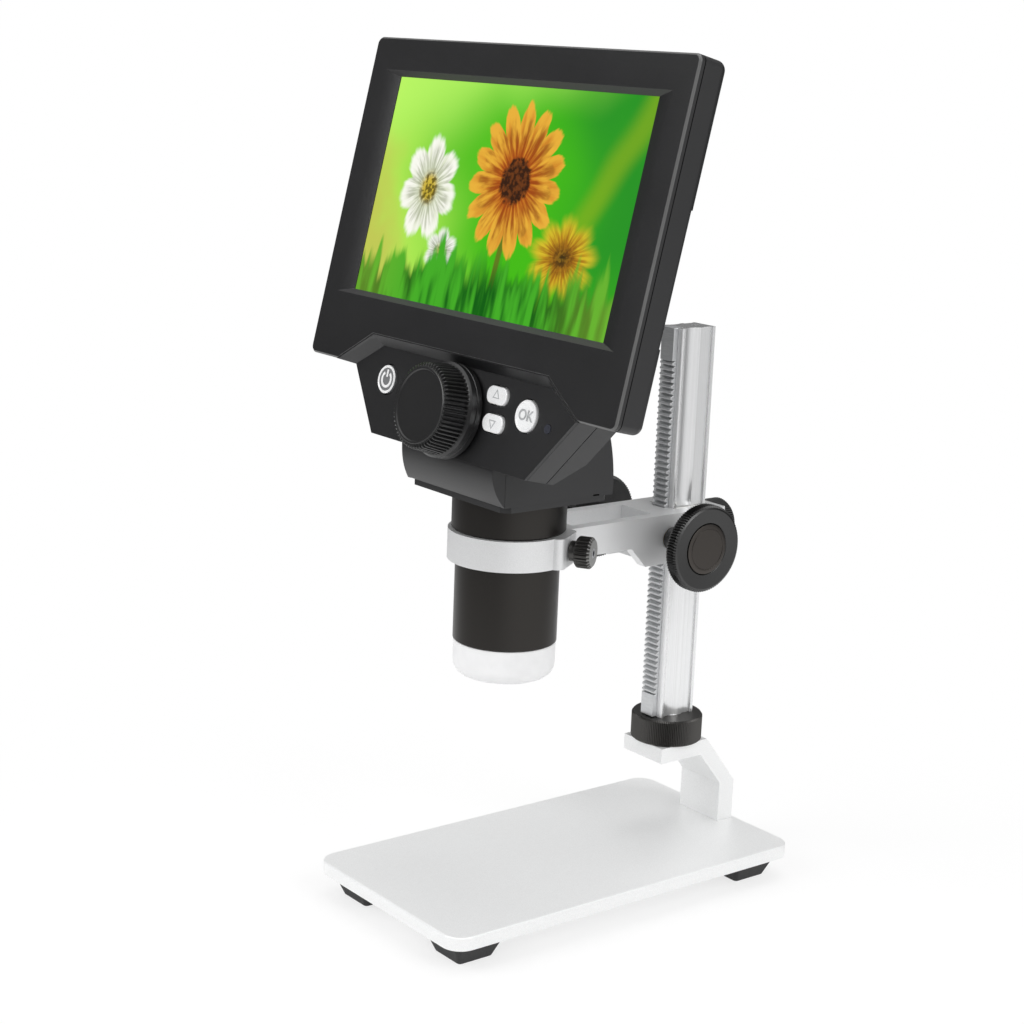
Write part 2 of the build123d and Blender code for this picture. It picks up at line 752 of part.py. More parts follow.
lens_tube_top = lens_tube_bottom + lens_tube_length
stem_outer = focus_rack_back - stem_inset
stem_inner = stem_outer - lens_tube_wall
stem = block(
    (stem_inner, stem_outer), (barrel_y - stem_width / 2, barrel_y + stem_width / 2),
    (lens_tube_top - 3.0, rack_bottom))
lens_tube = tube(
    lens_tube_radius, lens_tube_radius - lens_tube_wall, lens_tube_bottom, lens_tube_top, barrel_at)
parts["lens_tube"] = lens_tube + stem + focus_rack
lens_low = lens_tube_bottom + 1.5
parts["objective_lens"] = rod(
    lens_tube_radius - lens_tube_wall - press_gap, lens_low, lens_low + 4.0, barrel_at)

# ---------------------------------------------------------------- neck

half_neck = neck_width / 2
envelope = screen_frame * extrude(Plane.YZ * Polygon(
    (pod_bottom, 40),
    (pod_bottom, pod_rear + pod_chamfer_depth),
    (pod_bottom + pod_chamfer_rise, pod_rear),
    (120, pod_rear),
    (120, 40),
    align=None), amount=120, both=True)


def neck_blank(half_width, front, rear, curve, bottom):
    """Upright body with a rounded back, up to the screen head."""
    upright = block((-half_width, half_width), (front, rear), (bottom, bottom + neck_blank_height))
    rounded = cross_rod(curve, -half_width, half_width, rear - curve, bottom + neck_rear_rise)
    return upright & rounded


neck = neck_blank(half_neck, neck_front_y, neck_rear_y, neck_rear_curve, neck_bottom) - envelope
neck -= neck_blank(
    half_neck - neck_wall, neck_front_y, neck_rear_y - neck_wall,
    neck_rear_curve - neck_wall, neck_bottom)
neck_screw_radius = 1.25
neck_screw_head = 2.3
neck_screw_head_height = 1.4
neck_screw_bite = 7.0
neck_screw_margin = 6.0
neck_post_radius = 3.0
neck_post_height = 10.0
neck_screw_x = half_neck - neck_wall - neck_post_radius
neck_screw_places = [
    (x, y) for x in (neck_screw_x, -neck_screw_x)
    for y in (neck_front_y + neck_screw_margin, neck_rear_y - neck_screw_margin)]
for place in neck_screw_places:
    neck += rod(neck_post_radius + running_fit, neck_bottom, neck_bottom + neck_post_height, place)
    neck -= rod(
        neck_screw_radius + running_fit, neck_bottom, neck_bottom + neck_screw_bite + 1.0, place)
vent_y = neck_rear_y - 8.3
vent_half = 1.5
neck -= block(
    (-half_neck - 1, half_neck + 1), (vent_y - vent_half, vent_y + vent_half),
    (neck_bottom, neck_bottom + 0.8))
parts["neck_housing"] = neck

front_z = neck_bottom + neck_front_rise
curve_axis_y = neck_front_y + math.sqrt(neck_front_curve ** 2 - neck_front_rise ** 2)


def front_blank(inset):
    """Curved front of the neck with faceted corners."""
    half = half_neck - inset
    curve = neck_front_curve - inset
    facet = prism([
        (-half, neck_front_y), (half, neck_front_y),
        (half - neck_facet, neck_front_y - 8.0), (neck_facet - half, neck_front_y - 8.0),
    ], neck_bottom, neck_bottom + 20)
    return facet & cross_rod(curve, -half, half, curve_axis_y, front_z)


parts["neck_front_cover"] = front_blank(0) - front_blank(neck_wall) - envelope

plate_half = half_neck - neck_plate_inset
plate_front = neck_front_y + neck_plate_inset
plate_rear = neck_rear_y - neck_plate_inset
neck_plate = prism(mirrored([
    (plate_half - neck_plate_corner, plate_rear),
    (plate_half, plate_rear - neck_plate_corner),
    (plate_half, plate_front + neck_plate_corner),
    (plate_half - neck_plate_corner, plate_front),
]), collar_top, neck_bottom)
neck_plate -= rod(neck_plate_bore, collar_top, neck_bottom, barrel_at)
neck_screw_seat = collar_top + sliding_gap + neck_screw_head_height
for place in neck_screw_places:
    neck_plate -= rod(neck_screw_head + sliding_gap, collar_top, neck_screw_seat, place)
    neck_plate -= rod(neck_screw_radius + sliding_gap, neck_screw_seat, neck_bottom, place)
parts["neck_base_plate"] = neck_plate
neck_screw = upward_screw(
    neck_screw_head, neck_screw_head_height, neck_screw_radius, collar_top + sliding_gap,
    neck_bottom + neck_screw_bite)
parts["neck_screws"] = Compound(at_each(neck_screw, neck_screw_places))

sensor_board = block(
    (-sensor_half, sensor_half), (barrel_y - sensor_half, barrel_y + 6.0),
    (neck_bottom, neck_bottom + board_thickness))
sensor_board -= block(
    (stem_inner - 1.0, focus_rack_back + 0.6), (barrel_y - 3.0, barrel_y + 3.0),
    (neck_bottom, neck_bottom + board_thickness))
sensor_chip = block(
    (-4.0, 4.0), (barrel_y - 3.0, barrel_y + 3.0), (neck_bottom - 1.4, neck_bottom))
parts["sensor_board"] = sensor_board + sensor_chip

rear_bush_radius = 4.0
shaft_bracket_half = 10.0
shaft_bracket_thickness = 4.0
shaft_bracket_foot = 9.0
shaft_bracket_over = 8.0
upright_front = barrel_y + 7.5
upright_rear = upright_front + shaft_bracket_thickness
bracket_x = (-shaft_bracket_half, shaft_bracket_half)
shaft_bracket = block(
    bracket_x, (upright_front, upright_rear), (neck_bottom, gear_z + shaft_bracket_over))
shaft_bracket += block(
    bracket_x, (upright_rear, upright_rear + shaft_bracket_foot), (neck_bottom, neck_bottom + 2.0))
shaft_bracket -= focus_axis * rod(rear_bush_radius + running_fit, shaft_tail - 20, shaft_head)
parts["shaft_bracket"] = shaft_bracket
bush_blank = focus_axis * (
    rod(rear_bush_radius, shaft_tail - 20, shaft_head)
    - rod(focus_shaft_radius + running_fit, shaft_tail - 20, shaft_head))
rear_bush = bush_blank & block(
    bracket_x, (upright_front, upright_rear), (neck_bottom, gear_z + shaft_bracket_over))

# ---------------------------------------------------------------- screen head

panel_outline = mirrored([
    (pod_top_half, pod_top), (pod_shoulder_half, pod_shoulder), (pod_bottom_half, pod_bottom)])
bulge_outline = mirrored([
    (bulge_top_half, bulge_top), (pod_shoulder_half, pod_shoulder), (pod_bottom_half, pod_bottom)])
notch_outline = mirrored([
    (notch_top_half, notch_top), (notch_mouth_half, case_bottom),
    (pod_shoulder_half, pod_shoulder)])
wall_top = pod_front - fascia_thickness
wall_bottom = wall_top - 1.5


def outline_prism(points, grow, low, high):
    """Outline made larger or smaller by a distance and raised from low to high."""
    face = Polygon(*points, align=None)
    if grow:
        face = offset(face, amount=grow, kind=Kind.INTERSECTION)
    return Pos(0, 0, low) * extrude(face, amount=high - low, dir=(0, 0, 1))


def slab(inset, low, high, corner):
    """Rounded slab of the screen case."""
    width = 2 * (case_half_width - inset)
    height = case_top - case_bottom - 2 * inset
    middle = (case_top + case_bottom) / 2
    return Pos(0, middle, low) * extrude(RectangleRounded(width, height, corner), amount=high - low)


def pod_chamfer(inset):
    """Wedge cut off the lower rear edge of the control pod."""
    run = math.hypot(pod_chamfer_rise, pod_chamfer_depth)
    up = inset * run / pod_chamfer_rise
    return extrude(Plane.YZ * Polygon(
        (pod_bottom - 1, pod_rear + pod_chamfer_depth + up + pod_chamfer_depth / pod_chamfer_rise),
        (pod_bottom + pod_chamfer_rise * 2, pod_rear - pod_chamfer_depth + up),
        (pod_bottom - 1, pod_rear - pod_chamfer_depth + up),
        align=None), amount=100, both=True)


panel_cut = outline_prism(panel_outline, sliding_gap, pod_parting - parting_gap, 5)
notch_cut = outline_prism(notch_outline, sliding_gap, wall_bottom - sliding_gap, 5)
case_front = -bezel_thickness - parting_gap

upper_half = block((-200, 200), (case_bottom, 200), (-100, 100))
inside_upper = block((-200, 200), (case_bottom + case_wall, 200), (-100, 100))
rear_case = slab(0, -case_depth, case_front, case_corner)
rear_case = fillet(rear_case.faces().sort_by(Axis.Z)[0].edges(), case_rear_round)
rear_case += outline_prism(bulge_outline, 0, pod_rear, pod_parting - parting_gap)
rear_case += outline_prism(bulge_outline, 0, pod_rear, -case_depth + 1) & upper_half
rear_case -= pod_chamfer(0)
rear_case -= slab(case_wall, case_wall - case_depth, case_front, case_corner - 1)
bulge_cavity = outline_prism(bulge_outline, -case_wall, pod_rear + case_wall, pod_parting + 1)
bulge_cavity -= pod_chamfer(case_wall)
rear_case -= bulge_cavity
rear_case -= outline_prism(
    bulge_outline, -case_wall, pod_parting - 1, case_wall - case_depth + 1) & inside_upper
neck_mouth_half = half_neck - neck_wall - 1.0
rear_case -= block(
    (-neck_mouth_half, neck_mouth_half), (pod_bottom + pod_chamfer_rise + 1, -50),
    (pod_rear, pod_rear + case_wall))

rear_case += block(
    (case_half_width - case_wall - 3.5, case_half_width - case_wall),
    (side_recess_low - case_wall, side_recess_high + case_wall),
    (case_wall - case_depth, case_wall - case_depth + side_recess_depth))
rear_case -= block(
    (case_half_width - case_wall - 1.5, case_half_width + 1), (side_recess_low, side_recess_high),
    (-case_depth, side_recess_depth - case_depth))

case_screw_radius = 1.25
case_screw_head = 2.4
case_post_radius = 3.0
case_screw_margin = 7.5
case_screw_x = case_half_width - case_screw_margin
case_screw_places = [
    (x, up) for x in (case_screw_x, -case_screw_x)
    for up in (case_top - case_screw_margin, case_bottom + case_screw_margin)]
bezel_post_end = -5.0
screw_seat = -case_depth + 1.8
for place in case_screw_places:
    rear_case += rod(case_post_radius, -case_depth + 1, bezel_post_end - sliding_gap, place)
    rear_case -= rod(case_screw_head + free_gap, -case_depth, screw_seat, place)
    rear_case -= rod(case_screw_radius + sliding_gap, screw_seat, bezel_post_end, place)
case_screw = upward_screw(
    case_screw_head, 1.4, case_screw_radius, screw_seat - 1.4, -bezel_thickness - 1.0)
parts["case_screws"] = Compound([screen_frame * s for s in at_each(case_screw, case_screw_places)])

main_board_back = pod_rear + case_wall + main_board_lift
main_board_low = case_bottom + main_board_rise
main_board_high = main_board_low + main_board_height
board_post_x = main_board_width / 2 - board_post_margin
for x in (board_post_x, -board_post_x):
    for up in (main_board_low + board_post_radius + 1.5, main_board_high - board_post_radius - 1.5):
        rear_case += rod(board_post_radius, pod_rear + case_wall - 0.5, main_board_back, (x, up))

port_outer = -case_half_width
port_board_outer = port_outer + case_wall + 0.2
port_board_inner = port_board_outer + port_board_width
port_board_back = case_wall - case_depth
port_board_front = port_board_back + board_thickness
port_board = block(
    (port_board_outer, port_board_inner),
    (port_board_middle - port_board_height / 2, port_board_middle + port_board_height / 2),
    (port_board_back, port_board_front))
for middle, width, height in (
        (port_board_middle + socket_spread, usb_width, usb_height),
        (port_board_middle - socket_spread, card_width, card_height)):
    low, high = middle - width / 2, middle + width / 2
    socket_top = port_board_front + height
    port_board += block(
        (port_outer + free_gap, port_board_inner - 1.5), (low, high), (port_board_front, socket_top))
    port_board -= block(
        (port_outer + free_gap, port_board_inner - 3.5), (low + 0.8, high - 0.8),
        (port_board_front + 0.5, socket_top - 0.5))
    rear_case -= block(
        (port_outer - 1, port_outer + case_wall), (low - sliding_gap, high + sliding_gap),
        (port_board_front - sliding_gap, socket_top + sliding_gap))
parts["port_board"] = screen_frame * port_board
parts["rear_case"] = screen_frame * (rear_case - panel_cut - notch_cut)

bezel = slab(0, -bezel_thickness, 0, case_corner)
bezel = chamfer(bezel.faces().sort_by(Axis.Z)[-1].edges(), bezel_chamfer)
skirt_inset = case_wall + 0.3
bezel += slab(skirt_inset, bezel_post_end, -bezel_thickness, case_corner - 1) - slab(
    skirt_inset + 1.6, bezel_post_end, -bezel_thickness, 1.0)
for place in case_screw_places:
    bezel += rod(case_post_radius, bezel_post_end, -bezel_thickness, place)
    bezel -= rod(
        case_screw_radius + running_fit, bezel_post_end, -bezel_thickness - 0.7, place)
window_edge = 0.3
bezel -= loft([
    Pos(0, 0, window_edge - bezel_thickness) * Rectangle(lcd_width, lcd_height),
    Rectangle(bevel_width, bevel_height),
])
bezel -= block(
    (-lcd_width / 2, lcd_width / 2), (-lcd_height / 2, lcd_height / 2),
    (-bezel_thickness, 0))
parts["front_bezel"] = screen_frame * (bezel - panel_cut - notch_cut)

lcd_front = -bezel_thickness - running_fit
parts["lcd_panel"] = screen_frame * block(
    (-lcd_module_width / 2, lcd_module_width / 2),
    (-lcd_module_height / 2, lcd_module_height / 2),
    (lcd_front - lcd_module_thickness, lcd_front))

board_half = main_board_width / 2
board_top = main_board_back + board_thickness
main_board = block(
    (-board_half, board_half), (main_board_low, main_board_high), (main_board_back, board_top))
for low, high in ((0.1, 0.24), (0.8, 0.88)):
    main_board += block(
        ((low - 0.5) * main_board_width, (high - 0.5) * main_board_width),
        (main_board_low + 4.0, main_board_high - 5.0), (board_top, board_top + chip_height))
parts["main_board"] = screen_frame * main_board
battery_back = pod_rear + case_wall
battery_high = bulge_top - battery_margin
parts["battery_pack"] = screen_frame * block(
    (-battery_width / 2, battery_width / 2), (battery_high - battery_height, battery_high),
    (battery_back, battery_back + battery_thickness))

# ---------------------------------------------------------------- control pod

pod_shell = outline_prism(panel_outline, 0, pod_parting, wall_top)
pod_shell -= outline_prism(panel_outline, -case_wall, pod_parting, wall_bottom)
rim = outline_prism(notch_outline, 0, wall_bottom, -sliding_gap)
rim_cut = loft([
    Pos(0, 0, pod_front) * Polygon(*mirrored([
        (pod_top_half, pod_top), (pod_shoulder_half, pod_shoulder),
        (pod_shoulder_half, pod_shoulder - 9)]), align=None),
    Polygon(*mirrored([
        (notch_top_half - 0.3, notch_top - 0.3), (notch_mouth_half - 0.6, case_bottom - 0.2),
        (notch_mouth_half - 0.6, case_bottom - 9)]), align=None),
])
rim -= rim_cut
rim -= outline_prism(panel_outline, 0, wall_top, pod_front)
pod_shell += rim
fascia = outline_prism(panel_outline, -press_gap, wall_top, pod_front)

button_top = pod_front + button_proud
flange_top = wall_bottom - running_fit
flange_bottom = flange_top - 1.0
button_end = flange_bottom - 1.2
switch_top = button_end - button_travel - running_fit
board_front = wall_bottom - 5.0
board_back = board_front - board_thickness


def power_disc(grow, low, high):
    return rod(power_button_radius + grow, low, high)


def ok_disc(grow, low, high):
    return rod(ok_button_radius + grow, low, high)


def key_bar(grow, low, high):
    return rounded_key(key_width + 2 * grow, key_height + 2 * grow, key_corner + grow, low, high)


buttons = {
    "power_button": (power_at, power_disc),
    "up_button": (up_at, key_bar),
    "down_button": (down_at, key_bar),
    "ok_button": (ok_at, ok_disc),
}
button_board = outline_prism(panel_outline, -case_wall - 0.5, board_back, board_front)
button_board -= block((-100, 100), (pod_top - 5.0, 0), (board_back, board_front))
button_board -= rod(focus_shaft_radius + 3.0, board_back, board_front, (0, wheel_at))
for name, (place, shape) in buttons.items():
    here = Pos(place[0], place[1], 0)
    button = shape(0, flange_bottom, button_top)
    button = chamfer(button.faces().sort_by(Axis.Z)[-1].edges(), 0.3)
    button += shape(button_flange, flange_bottom, flange_top)
    button += rod(1.5, button_end, flange_bottom)
    parts[name] = screen_frame * here * button
    opening = here * shape(button_gap, wall_bottom, pod_front)
    fascia -= opening
    pod_shell -= opening
    button_board += here * block((-3, 3), (-3, 3), (board_front, switch_top - 0.8))
    button_board += here * rod(1.6, board_front, switch_top)

post_radius = 2.5
post_inset = 9.0
for side in (-1, 1):
    for half, up in ((pod_shoulder_half, pod_shoulder), (pod_bottom_half, pod_bottom + post_inset)):
        place = (side * (half - post_inset), up - post_radius)
        pod_shell += rod(post_radius, board_front, wall_bottom + 0.5, place)

indicator_top = pod_front + 0.2
indicator_hole = rod(indicator_radius + running_fit, wall_bottom, pod_front, indicator_at)
fascia -= indicator_hole
pod_shell -= indicator_hole
indicator = rod(indicator_radius, board_front + sliding_gap, indicator_top, indicator_at)
indicator += rod(indicator_radius + 1, flange_bottom, flange_top, indicator_at)
parts["indicator_lens"] = screen_frame * indicator

front_bush_radius = 4.5
bush_hole = rod(front_bush_radius + running_fit, wall_bottom, pod_front, (0, wheel_at))
fascia -= bush_hole
pod_shell -= bush_hole
front_bush = rod(front_bush_radius, wall_bottom, pod_front, (0, wheel_at))
front_bush += rod(front_bush_radius + 2.0, wall_bottom - 1.5, wall_bottom, (0, wheel_at))
front_bush -= rod(focus_shaft_radius + running_fit, wall_bottom - 2, pod_front, (0, wheel_at))
parts["focus_bushes"] = Compound([screen_frame * front_bush, rear_bush])
parts["control_panel"] = screen_frame * pod_shell
parts["control_fascia"] = screen_frame * fascia
parts["button_board"] = screen_frame * button_board

ribbon_low = main_board_low + 1.0
ribbon_high = ribbon_low - 5.0
ribbon = extrude(Plane.YZ * Polygon(
    (ribbon_high - ribbon_thickness, board_back), (ribbon_high, board_back),
    (ribbon_low + ribbon_thickness, board_top), (ribbon_low, board_top),
    align=None), amount=ribbon_width / 2, both=True)
parts["ribbon_cable"] = screen_frame * Pos(ribbon_place, 0, 0) * ribbon

# ---------------------------------------------------------------- files

os.makedirs("parts", exist_ok=True)
for name, shape in parts.items():
    export_step(shape, f"parts/{name}.step")
    print(name, len(shape.solids()))
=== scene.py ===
# %% [markdown]
# This lesson dresses a digital microscope: a flat screen head on a black barrel, held by a metal
# arm that climbs a toothed column. The solids arrive as a fixed frame in metres. Some of them only
# need a finish. Others have edges or grips that a maker would see, so they are modelled again.

# %% Load the frame
import bpy
import json
import math
from mathutils import Matrix, Vector


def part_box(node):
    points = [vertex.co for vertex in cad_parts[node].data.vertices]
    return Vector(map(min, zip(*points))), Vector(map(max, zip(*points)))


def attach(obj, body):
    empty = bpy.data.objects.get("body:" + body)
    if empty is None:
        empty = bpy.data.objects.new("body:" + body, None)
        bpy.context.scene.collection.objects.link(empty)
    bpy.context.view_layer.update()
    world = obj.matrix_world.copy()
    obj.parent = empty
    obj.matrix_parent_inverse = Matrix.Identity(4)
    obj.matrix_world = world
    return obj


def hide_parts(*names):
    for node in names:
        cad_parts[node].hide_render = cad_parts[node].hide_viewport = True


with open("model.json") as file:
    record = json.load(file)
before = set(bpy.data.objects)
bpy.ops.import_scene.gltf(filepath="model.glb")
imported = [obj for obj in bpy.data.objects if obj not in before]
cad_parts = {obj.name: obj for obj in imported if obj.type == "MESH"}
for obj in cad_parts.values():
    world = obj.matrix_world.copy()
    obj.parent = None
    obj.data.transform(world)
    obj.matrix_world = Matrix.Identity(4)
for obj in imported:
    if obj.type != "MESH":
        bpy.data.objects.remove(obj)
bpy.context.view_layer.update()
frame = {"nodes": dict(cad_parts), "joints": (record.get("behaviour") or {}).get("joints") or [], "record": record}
nodes = frame["nodes"]
record = frame["record"]
joints = {joint["name"]: joint for joint in frame["joints"]}
body_of = {node: body for body, members in record["behaviour"]["bodies"].items() for node in members}
slot_of = {part["node"]: part["material_slot"] for part in record["subparts"]}
mm = 0.001
print("solids:", len(nodes), "bodies:", len(set(body_of.values())))

# %% [markdown]
# The screen head leans back, so flat things on it are easiest to place in a frame of their own:
# x across the screen, y up the screen and z straight out towards the user. The focus wheel turns
# about that z, so its joint gives the direction. The display module gives the middle, and the
# frame starts in the plane of the bezel's front.

# %% The leaning frame of the screen
def frame_from(x_axis, y_axis, z_axis, origin):
    """The matrix of a frame with these axes and this origin."""
    return Matrix.Translation(origin) @ Matrix((x_axis, y_axis, z_axis)).transposed().to_4x4()


out_of_screen = Vector(joints["focus_turn"]["axis"]).normalized()
across = Vector((1.0, 0.0, 0.0))
up_screen = out_of_screen.cross(across)
lcd_low, lcd_high = [Vector(corner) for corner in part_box("lcd_panel")]
lcd_middle = (lcd_low + lcd_high) / 2
bezel_front = 4.7 * mm  # in front of the display module's middle
screen_middle = lcd_middle + out_of_screen * bezel_front
SCREEN = frame_from(across, up_screen, out_of_screen, screen_middle)
print("screen middle in mm:", [round(value / mm, 2) for value in screen_middle])

# %% [markdown]
# A camera is three choices: where it stands, where it looks and how long its lens is. Here it
# stands to the user's right, level with the top of the screen, and looks down a little. A longish
# lens keeps the verticals almost parallel. A small roll tips the picture by two degrees.

# %% Camera
camera_place = Vector((616.19, -519.50, 346.76)) * mm
camera_turn = math.radians(51.65)
camera_dip = math.radians(13.22)
camera_roll = math.radians(2.27)
backward = Vector((
    math.sin(camera_turn) * math.cos(camera_dip),
    -math.cos(camera_turn) * math.cos(camera_dip),
    math.sin(camera_dip)))
level = Vector((math.cos(camera_turn), math.sin(camera_turn), 0.0))
upright = backward.cross(level)
camera_right = level * math.cos(camera_roll) + upright * math.sin(camera_roll)
camera_up = upright * math.cos(camera_roll) - level * math.sin(camera_roll)
camera_data = bpy.data.cameras.new("camera")
camera_data.sensor_width = 36.0
camera_data.lens = 73.06
camera_data.dof.use_dof = False
camera = bpy.data.objects.new("camera", camera_data)
bpy.context.scene.collection.objects.link(camera)
camera.matrix_world = frame_from(camera_right, camera_up, backward, camera_place)
bpy.context.scene.camera = camera
bpy.context.scene.view_settings.view_transform = "Standard"
print("camera lens:", camera_data.lens, "mm")

# %% [markdown]
# Shader maths reads best as ordinary expressions. `Number` wraps one socket and turns + - * / into
# Math nodes. `Paint` holds one material, and its `node` method adds any other node: settings
# first, then the values or links of its sockets.

# %% Shader helpers
class Number:
    """One value inside a material, ready for arithmetic."""

    def __init__(self, paint, socket):
        self.paint = paint
        self.socket = socket

    def maths(self, operation, first, second=0.0):
        return self.paint.node("ShaderNodeMath", {"operation": operation}, {0: first, 1: second})

    def __add__(self, other):
        return self.maths("ADD", self, other)

    def __radd__(self, other):
        return self.maths("ADD", other, self)

    def __sub__(self, other):
        return self.maths("SUBTRACT", self, other)

    def __rsub__(self, other):
        return self.maths("SUBTRACT", other, self)

    def __mul__(self, other):
        return self.maths("MULTIPLY", self, other)

    def __rmul__(self, other):
        return self.maths("MULTIPLY", other, self)

    def __truediv__(self, other):
        return self.maths("DIVIDE", self, other)

    def power(self, other):
        return self.maths("POWER", self, other)

    def larger(self, other):
        return self.maths("MAXIMUM", self, other)

    def sine(self):
        return self.maths("SINE", self)

    def cosine(self):
        return self.maths("COSINE", self)

    def size(self):
        return self.maths("ABSOLUTE", self)

    def root(self):
        return self.maths("SQRT", self)

    def direction(self, other):
        """The angle whose sine goes with self and whose cosine goes with other."""
        return self.maths("ARCTAN2", self, other)

    def step(self, start, end):
        """0 below start, 1 above end, smooth between."""
        sockets = {"Value": self, "From Min": start, "From Max": end}
        return self.paint.node("ShaderNodeMapRange", {"interpolation_type": "SMOOTHSTEP"}, sockets)


class Paint:
    """One material that ends in a Principled shader."""

    def __init__(self, name, **fixed):
        self.material = bpy.data.materials.new(name)
        self.material.use_nodes = True
        self.tree = self.material.node_tree
        self.shader = self.tree.nodes["Principled BSDF"]
        for words, value in fixed.items():
            self.shader.inputs[words.replace("_", " ")].default_value = value
        self.place = self.node("ShaderNodeTexCoord", output="Object")

    def node(self, kind, settings=None, sockets=None, output=0):
        new = self.tree.nodes.new(kind)
        for key, value in (settings or {}).items():
            setattr(new, key, value)
        for key, value in (sockets or {}).items():
            named = [plug for plug in new.inputs if plug.name == key and plug.enabled]
            plug = named[0] if named else new.inputs[key]
            if isinstance(value, Number):
                self.tree.links.new(value.socket, plug)
            else:
                plug.default_value = value
        outlets = [s for s in new.outputs if s.enabled]
        return Number(self, new.outputs[output] if isinstance(output, str) else outlets[output])

    def feed(self, socket, value):
        self.tree.links.new(value.socket, self.shader.inputs[socket])

    def noise(self, scale, detail=3.0, stretch=(1.0, 1.0, 1.0), rough=0.5, place=None):
        start = place or self.place
        moved = self.node("ShaderNodeMapping", None, {"Vector": start, "Scale": stretch})
        sockets = {"Vector": moved, "Scale": scale, "Detail": detail, "Roughness": rough}
        return self.node("ShaderNodeTexNoise", None, sockets)

    def blend(self, factor, low, high):
        """A colour between two others. Each is a colour or a linked value."""
        a, b = [(*one, 1.0) if isinstance(one, tuple) else one for one in (low, high)]
        sockets = {"Factor": factor, "A": a, "B": b}
        return self.node("ShaderNodeMix", {"data_type": "RGBA"}, sockets)

    def part(self, place, letter):
        """The X, Y or Z of a place."""
        return self.node("ShaderNodeSeparateXYZ", None, {"Vector": place}, letter)

    def bumps(self, height, strength, distance):
        """Bumps as high as distance, in millimetres."""
        sockets = {"Height": height, "Strength": strength, "Distance": distance * mm}
        self.feed("Normal", self.node("ShaderNodeBump", None, sockets))

    def ray_kinds(self):
        """Three values that are 1 for the rays they name."""
        return [self.node("ShaderNodeLightPath", None, None, f"Is {kind} Ray")
                for kind in ("Camera", "Glossy", "Transmission")]


def scaled(colour, factor):
    """The same colour, paler or darker."""
    return tuple(channel * factor for channel in colour)


def finish(thing, paint):
    """Gives a piece one material."""
    thing.data.materials.clear()
    thing.data.materials.append(paint.material)


def dress(name, paint):
    """Gives a solid of the frame another finish."""
    for slot in nodes[name].material_slots:
        slot.material = paint.material


print("shader helpers ready")

# %% [markdown]
# The case is moulded in near-black plastic with a fine spark-eroded grain. The grain is only a
# few tenths of a millimetre across, so a high-scale noise drives a weak bump, and a second, larger
# noise moves the roughness a little so that wide faces don't shine evenly. The bezel's outer edges
# and the matt slopes round the picture have their own, paler mixes: a painted sheen of the light
# these slanted faces catch.

# %% Black plastics
def moulded(name, colour, rough, grain=0.35, grain_size=0.35):
    """Injection-moulded plastic with an eroded grain, whose size is in millimetres."""
    paint = Paint(name, Specular_IOR_Level=0.65)
    speck = paint.noise(1 / (grain_size * mm), detail=2.0)
    cloud = paint.noise(40.0)
    change = 0.15
    low, high = scaled(colour, 1 - change), scaled(colour, 1 + change)
    paint.feed("Base Color", paint.blend(cloud, low, high))
    paint.feed("Roughness", cloud * 0.08 + speck * 0.06 + (rough - 0.07))
    paint.bumps(speck, grain, 0.08)
    return paint


case_plastic = moulded("case_plastic", (0.0105, 0.0105, 0.0115), rough=0.42)
pod_plastic = moulded("pod_plastic", (0.012, 0.012, 0.013), rough=0.40, grain=0.25, grain_size=0.3)
fascia_plastic = moulded("fascia_plastic", (0.010, 0.010, 0.011), rough=0.45)
# These two are paler to paint the sheen that the bezel's slanted faces catch. The one round the picture is also
# matt.
bevel_painted_sheen = moulded("bevel_painted_sheen", (0.024, 0.023, 0.025), rough=0.5)
edge_painted_sheen = moulded("edge_painted_sheen", (0.10, 0.10, 0.10), rough=0.4, grain=0.15)
wheel_plastic = moulded(
    "wheel_plastic", (0.013, 0.013, 0.0135), rough=0.34, grain=0.15, grain_size=0.3)
print("six black plastics mixed")

# %% [markdown]
# Several kinds of aluminium meet here. The plate is satin anodised, the arm is bead-blasted and so
# sparkles in tiny dots, the column is drawn through a die and keeps fine lines along its length,
# its front is milled flat, and the turned parts are dyed black. Each has its own grain in bump and
# roughness. The anodised ones are only partly metal, because the clear oxide scatters light.

# %% Aluminium, steel and brass
def blasted(name, colour, rough, dot, depth, metal=1.0):
    """Metal with an even field of small dimples, whose size is in millimetres."""
    paint = Paint(name, Metallic=metal)
    dots = paint.noise(1 / (dot * mm), detail=3.0, rough=0.7)
    cloud = paint.noise(30.0)
    paint.feed("Base Color", paint.blend(dots.step(0.35, 0.65), scaled(colour, 0.9), colour))
    paint.feed("Roughness", dots * 0.14 + cloud * 0.06 + (rough - 0.1))
    paint.bumps(dots, depth, 0.1)
    return paint


def drawn(name, colour, rough, stretch, depth, metal=1.0):
    """Metal with fine lines along one direction. Stretch is lines per metre along each axis."""
    paint = Paint(name, Metallic=metal)
    lines = paint.noise(1.0, detail=4.0, stretch=stretch, rough=0.6)
    paint.feed("Base Color", paint.blend(lines.step(0.3, 0.7), scaled(colour, 0.88), colour))
    paint.feed("Roughness", lines * 0.18 + (rough - 0.09))
    paint.bumps(lines, depth, 0.05)
    return paint


upright_lines = (2600.0, 2600.0, 9.0)
lines_across = (260.0, 2400.0, 2400.0)
even_grain = (1500.0, 1500.0, 1500.0)
plate_aluminium = blasted(
    "plate_aluminium", (0.925, 0.93, 0.93), rough=0.46, dot=0.3, depth=0.12, metal=0.25)
arm_aluminium = blasted(
    "arm_aluminium", (0.80, 0.805, 0.81), rough=0.38, dot=0.28, depth=0.3, metal=0.5)
milled_aluminium = blasted(
    "milled_aluminium", (0.92, 0.925, 0.93), rough=0.34, dot=0.3, depth=0.1, metal=0.42)
column_aluminium = drawn(
    "column_aluminium", (0.90, 0.905, 0.91), rough=0.2, stretch=upright_lines, depth=0.12, metal=0.72)
rack_steel = drawn(
    "rack_steel", (0.66, 0.67, 0.68), rough=0.34, stretch=lines_across, depth=0.2, metal=0.6)
steel = drawn("steel", (0.55, 0.56, 0.58), rough=0.3, stretch=even_grain, depth=0.1)
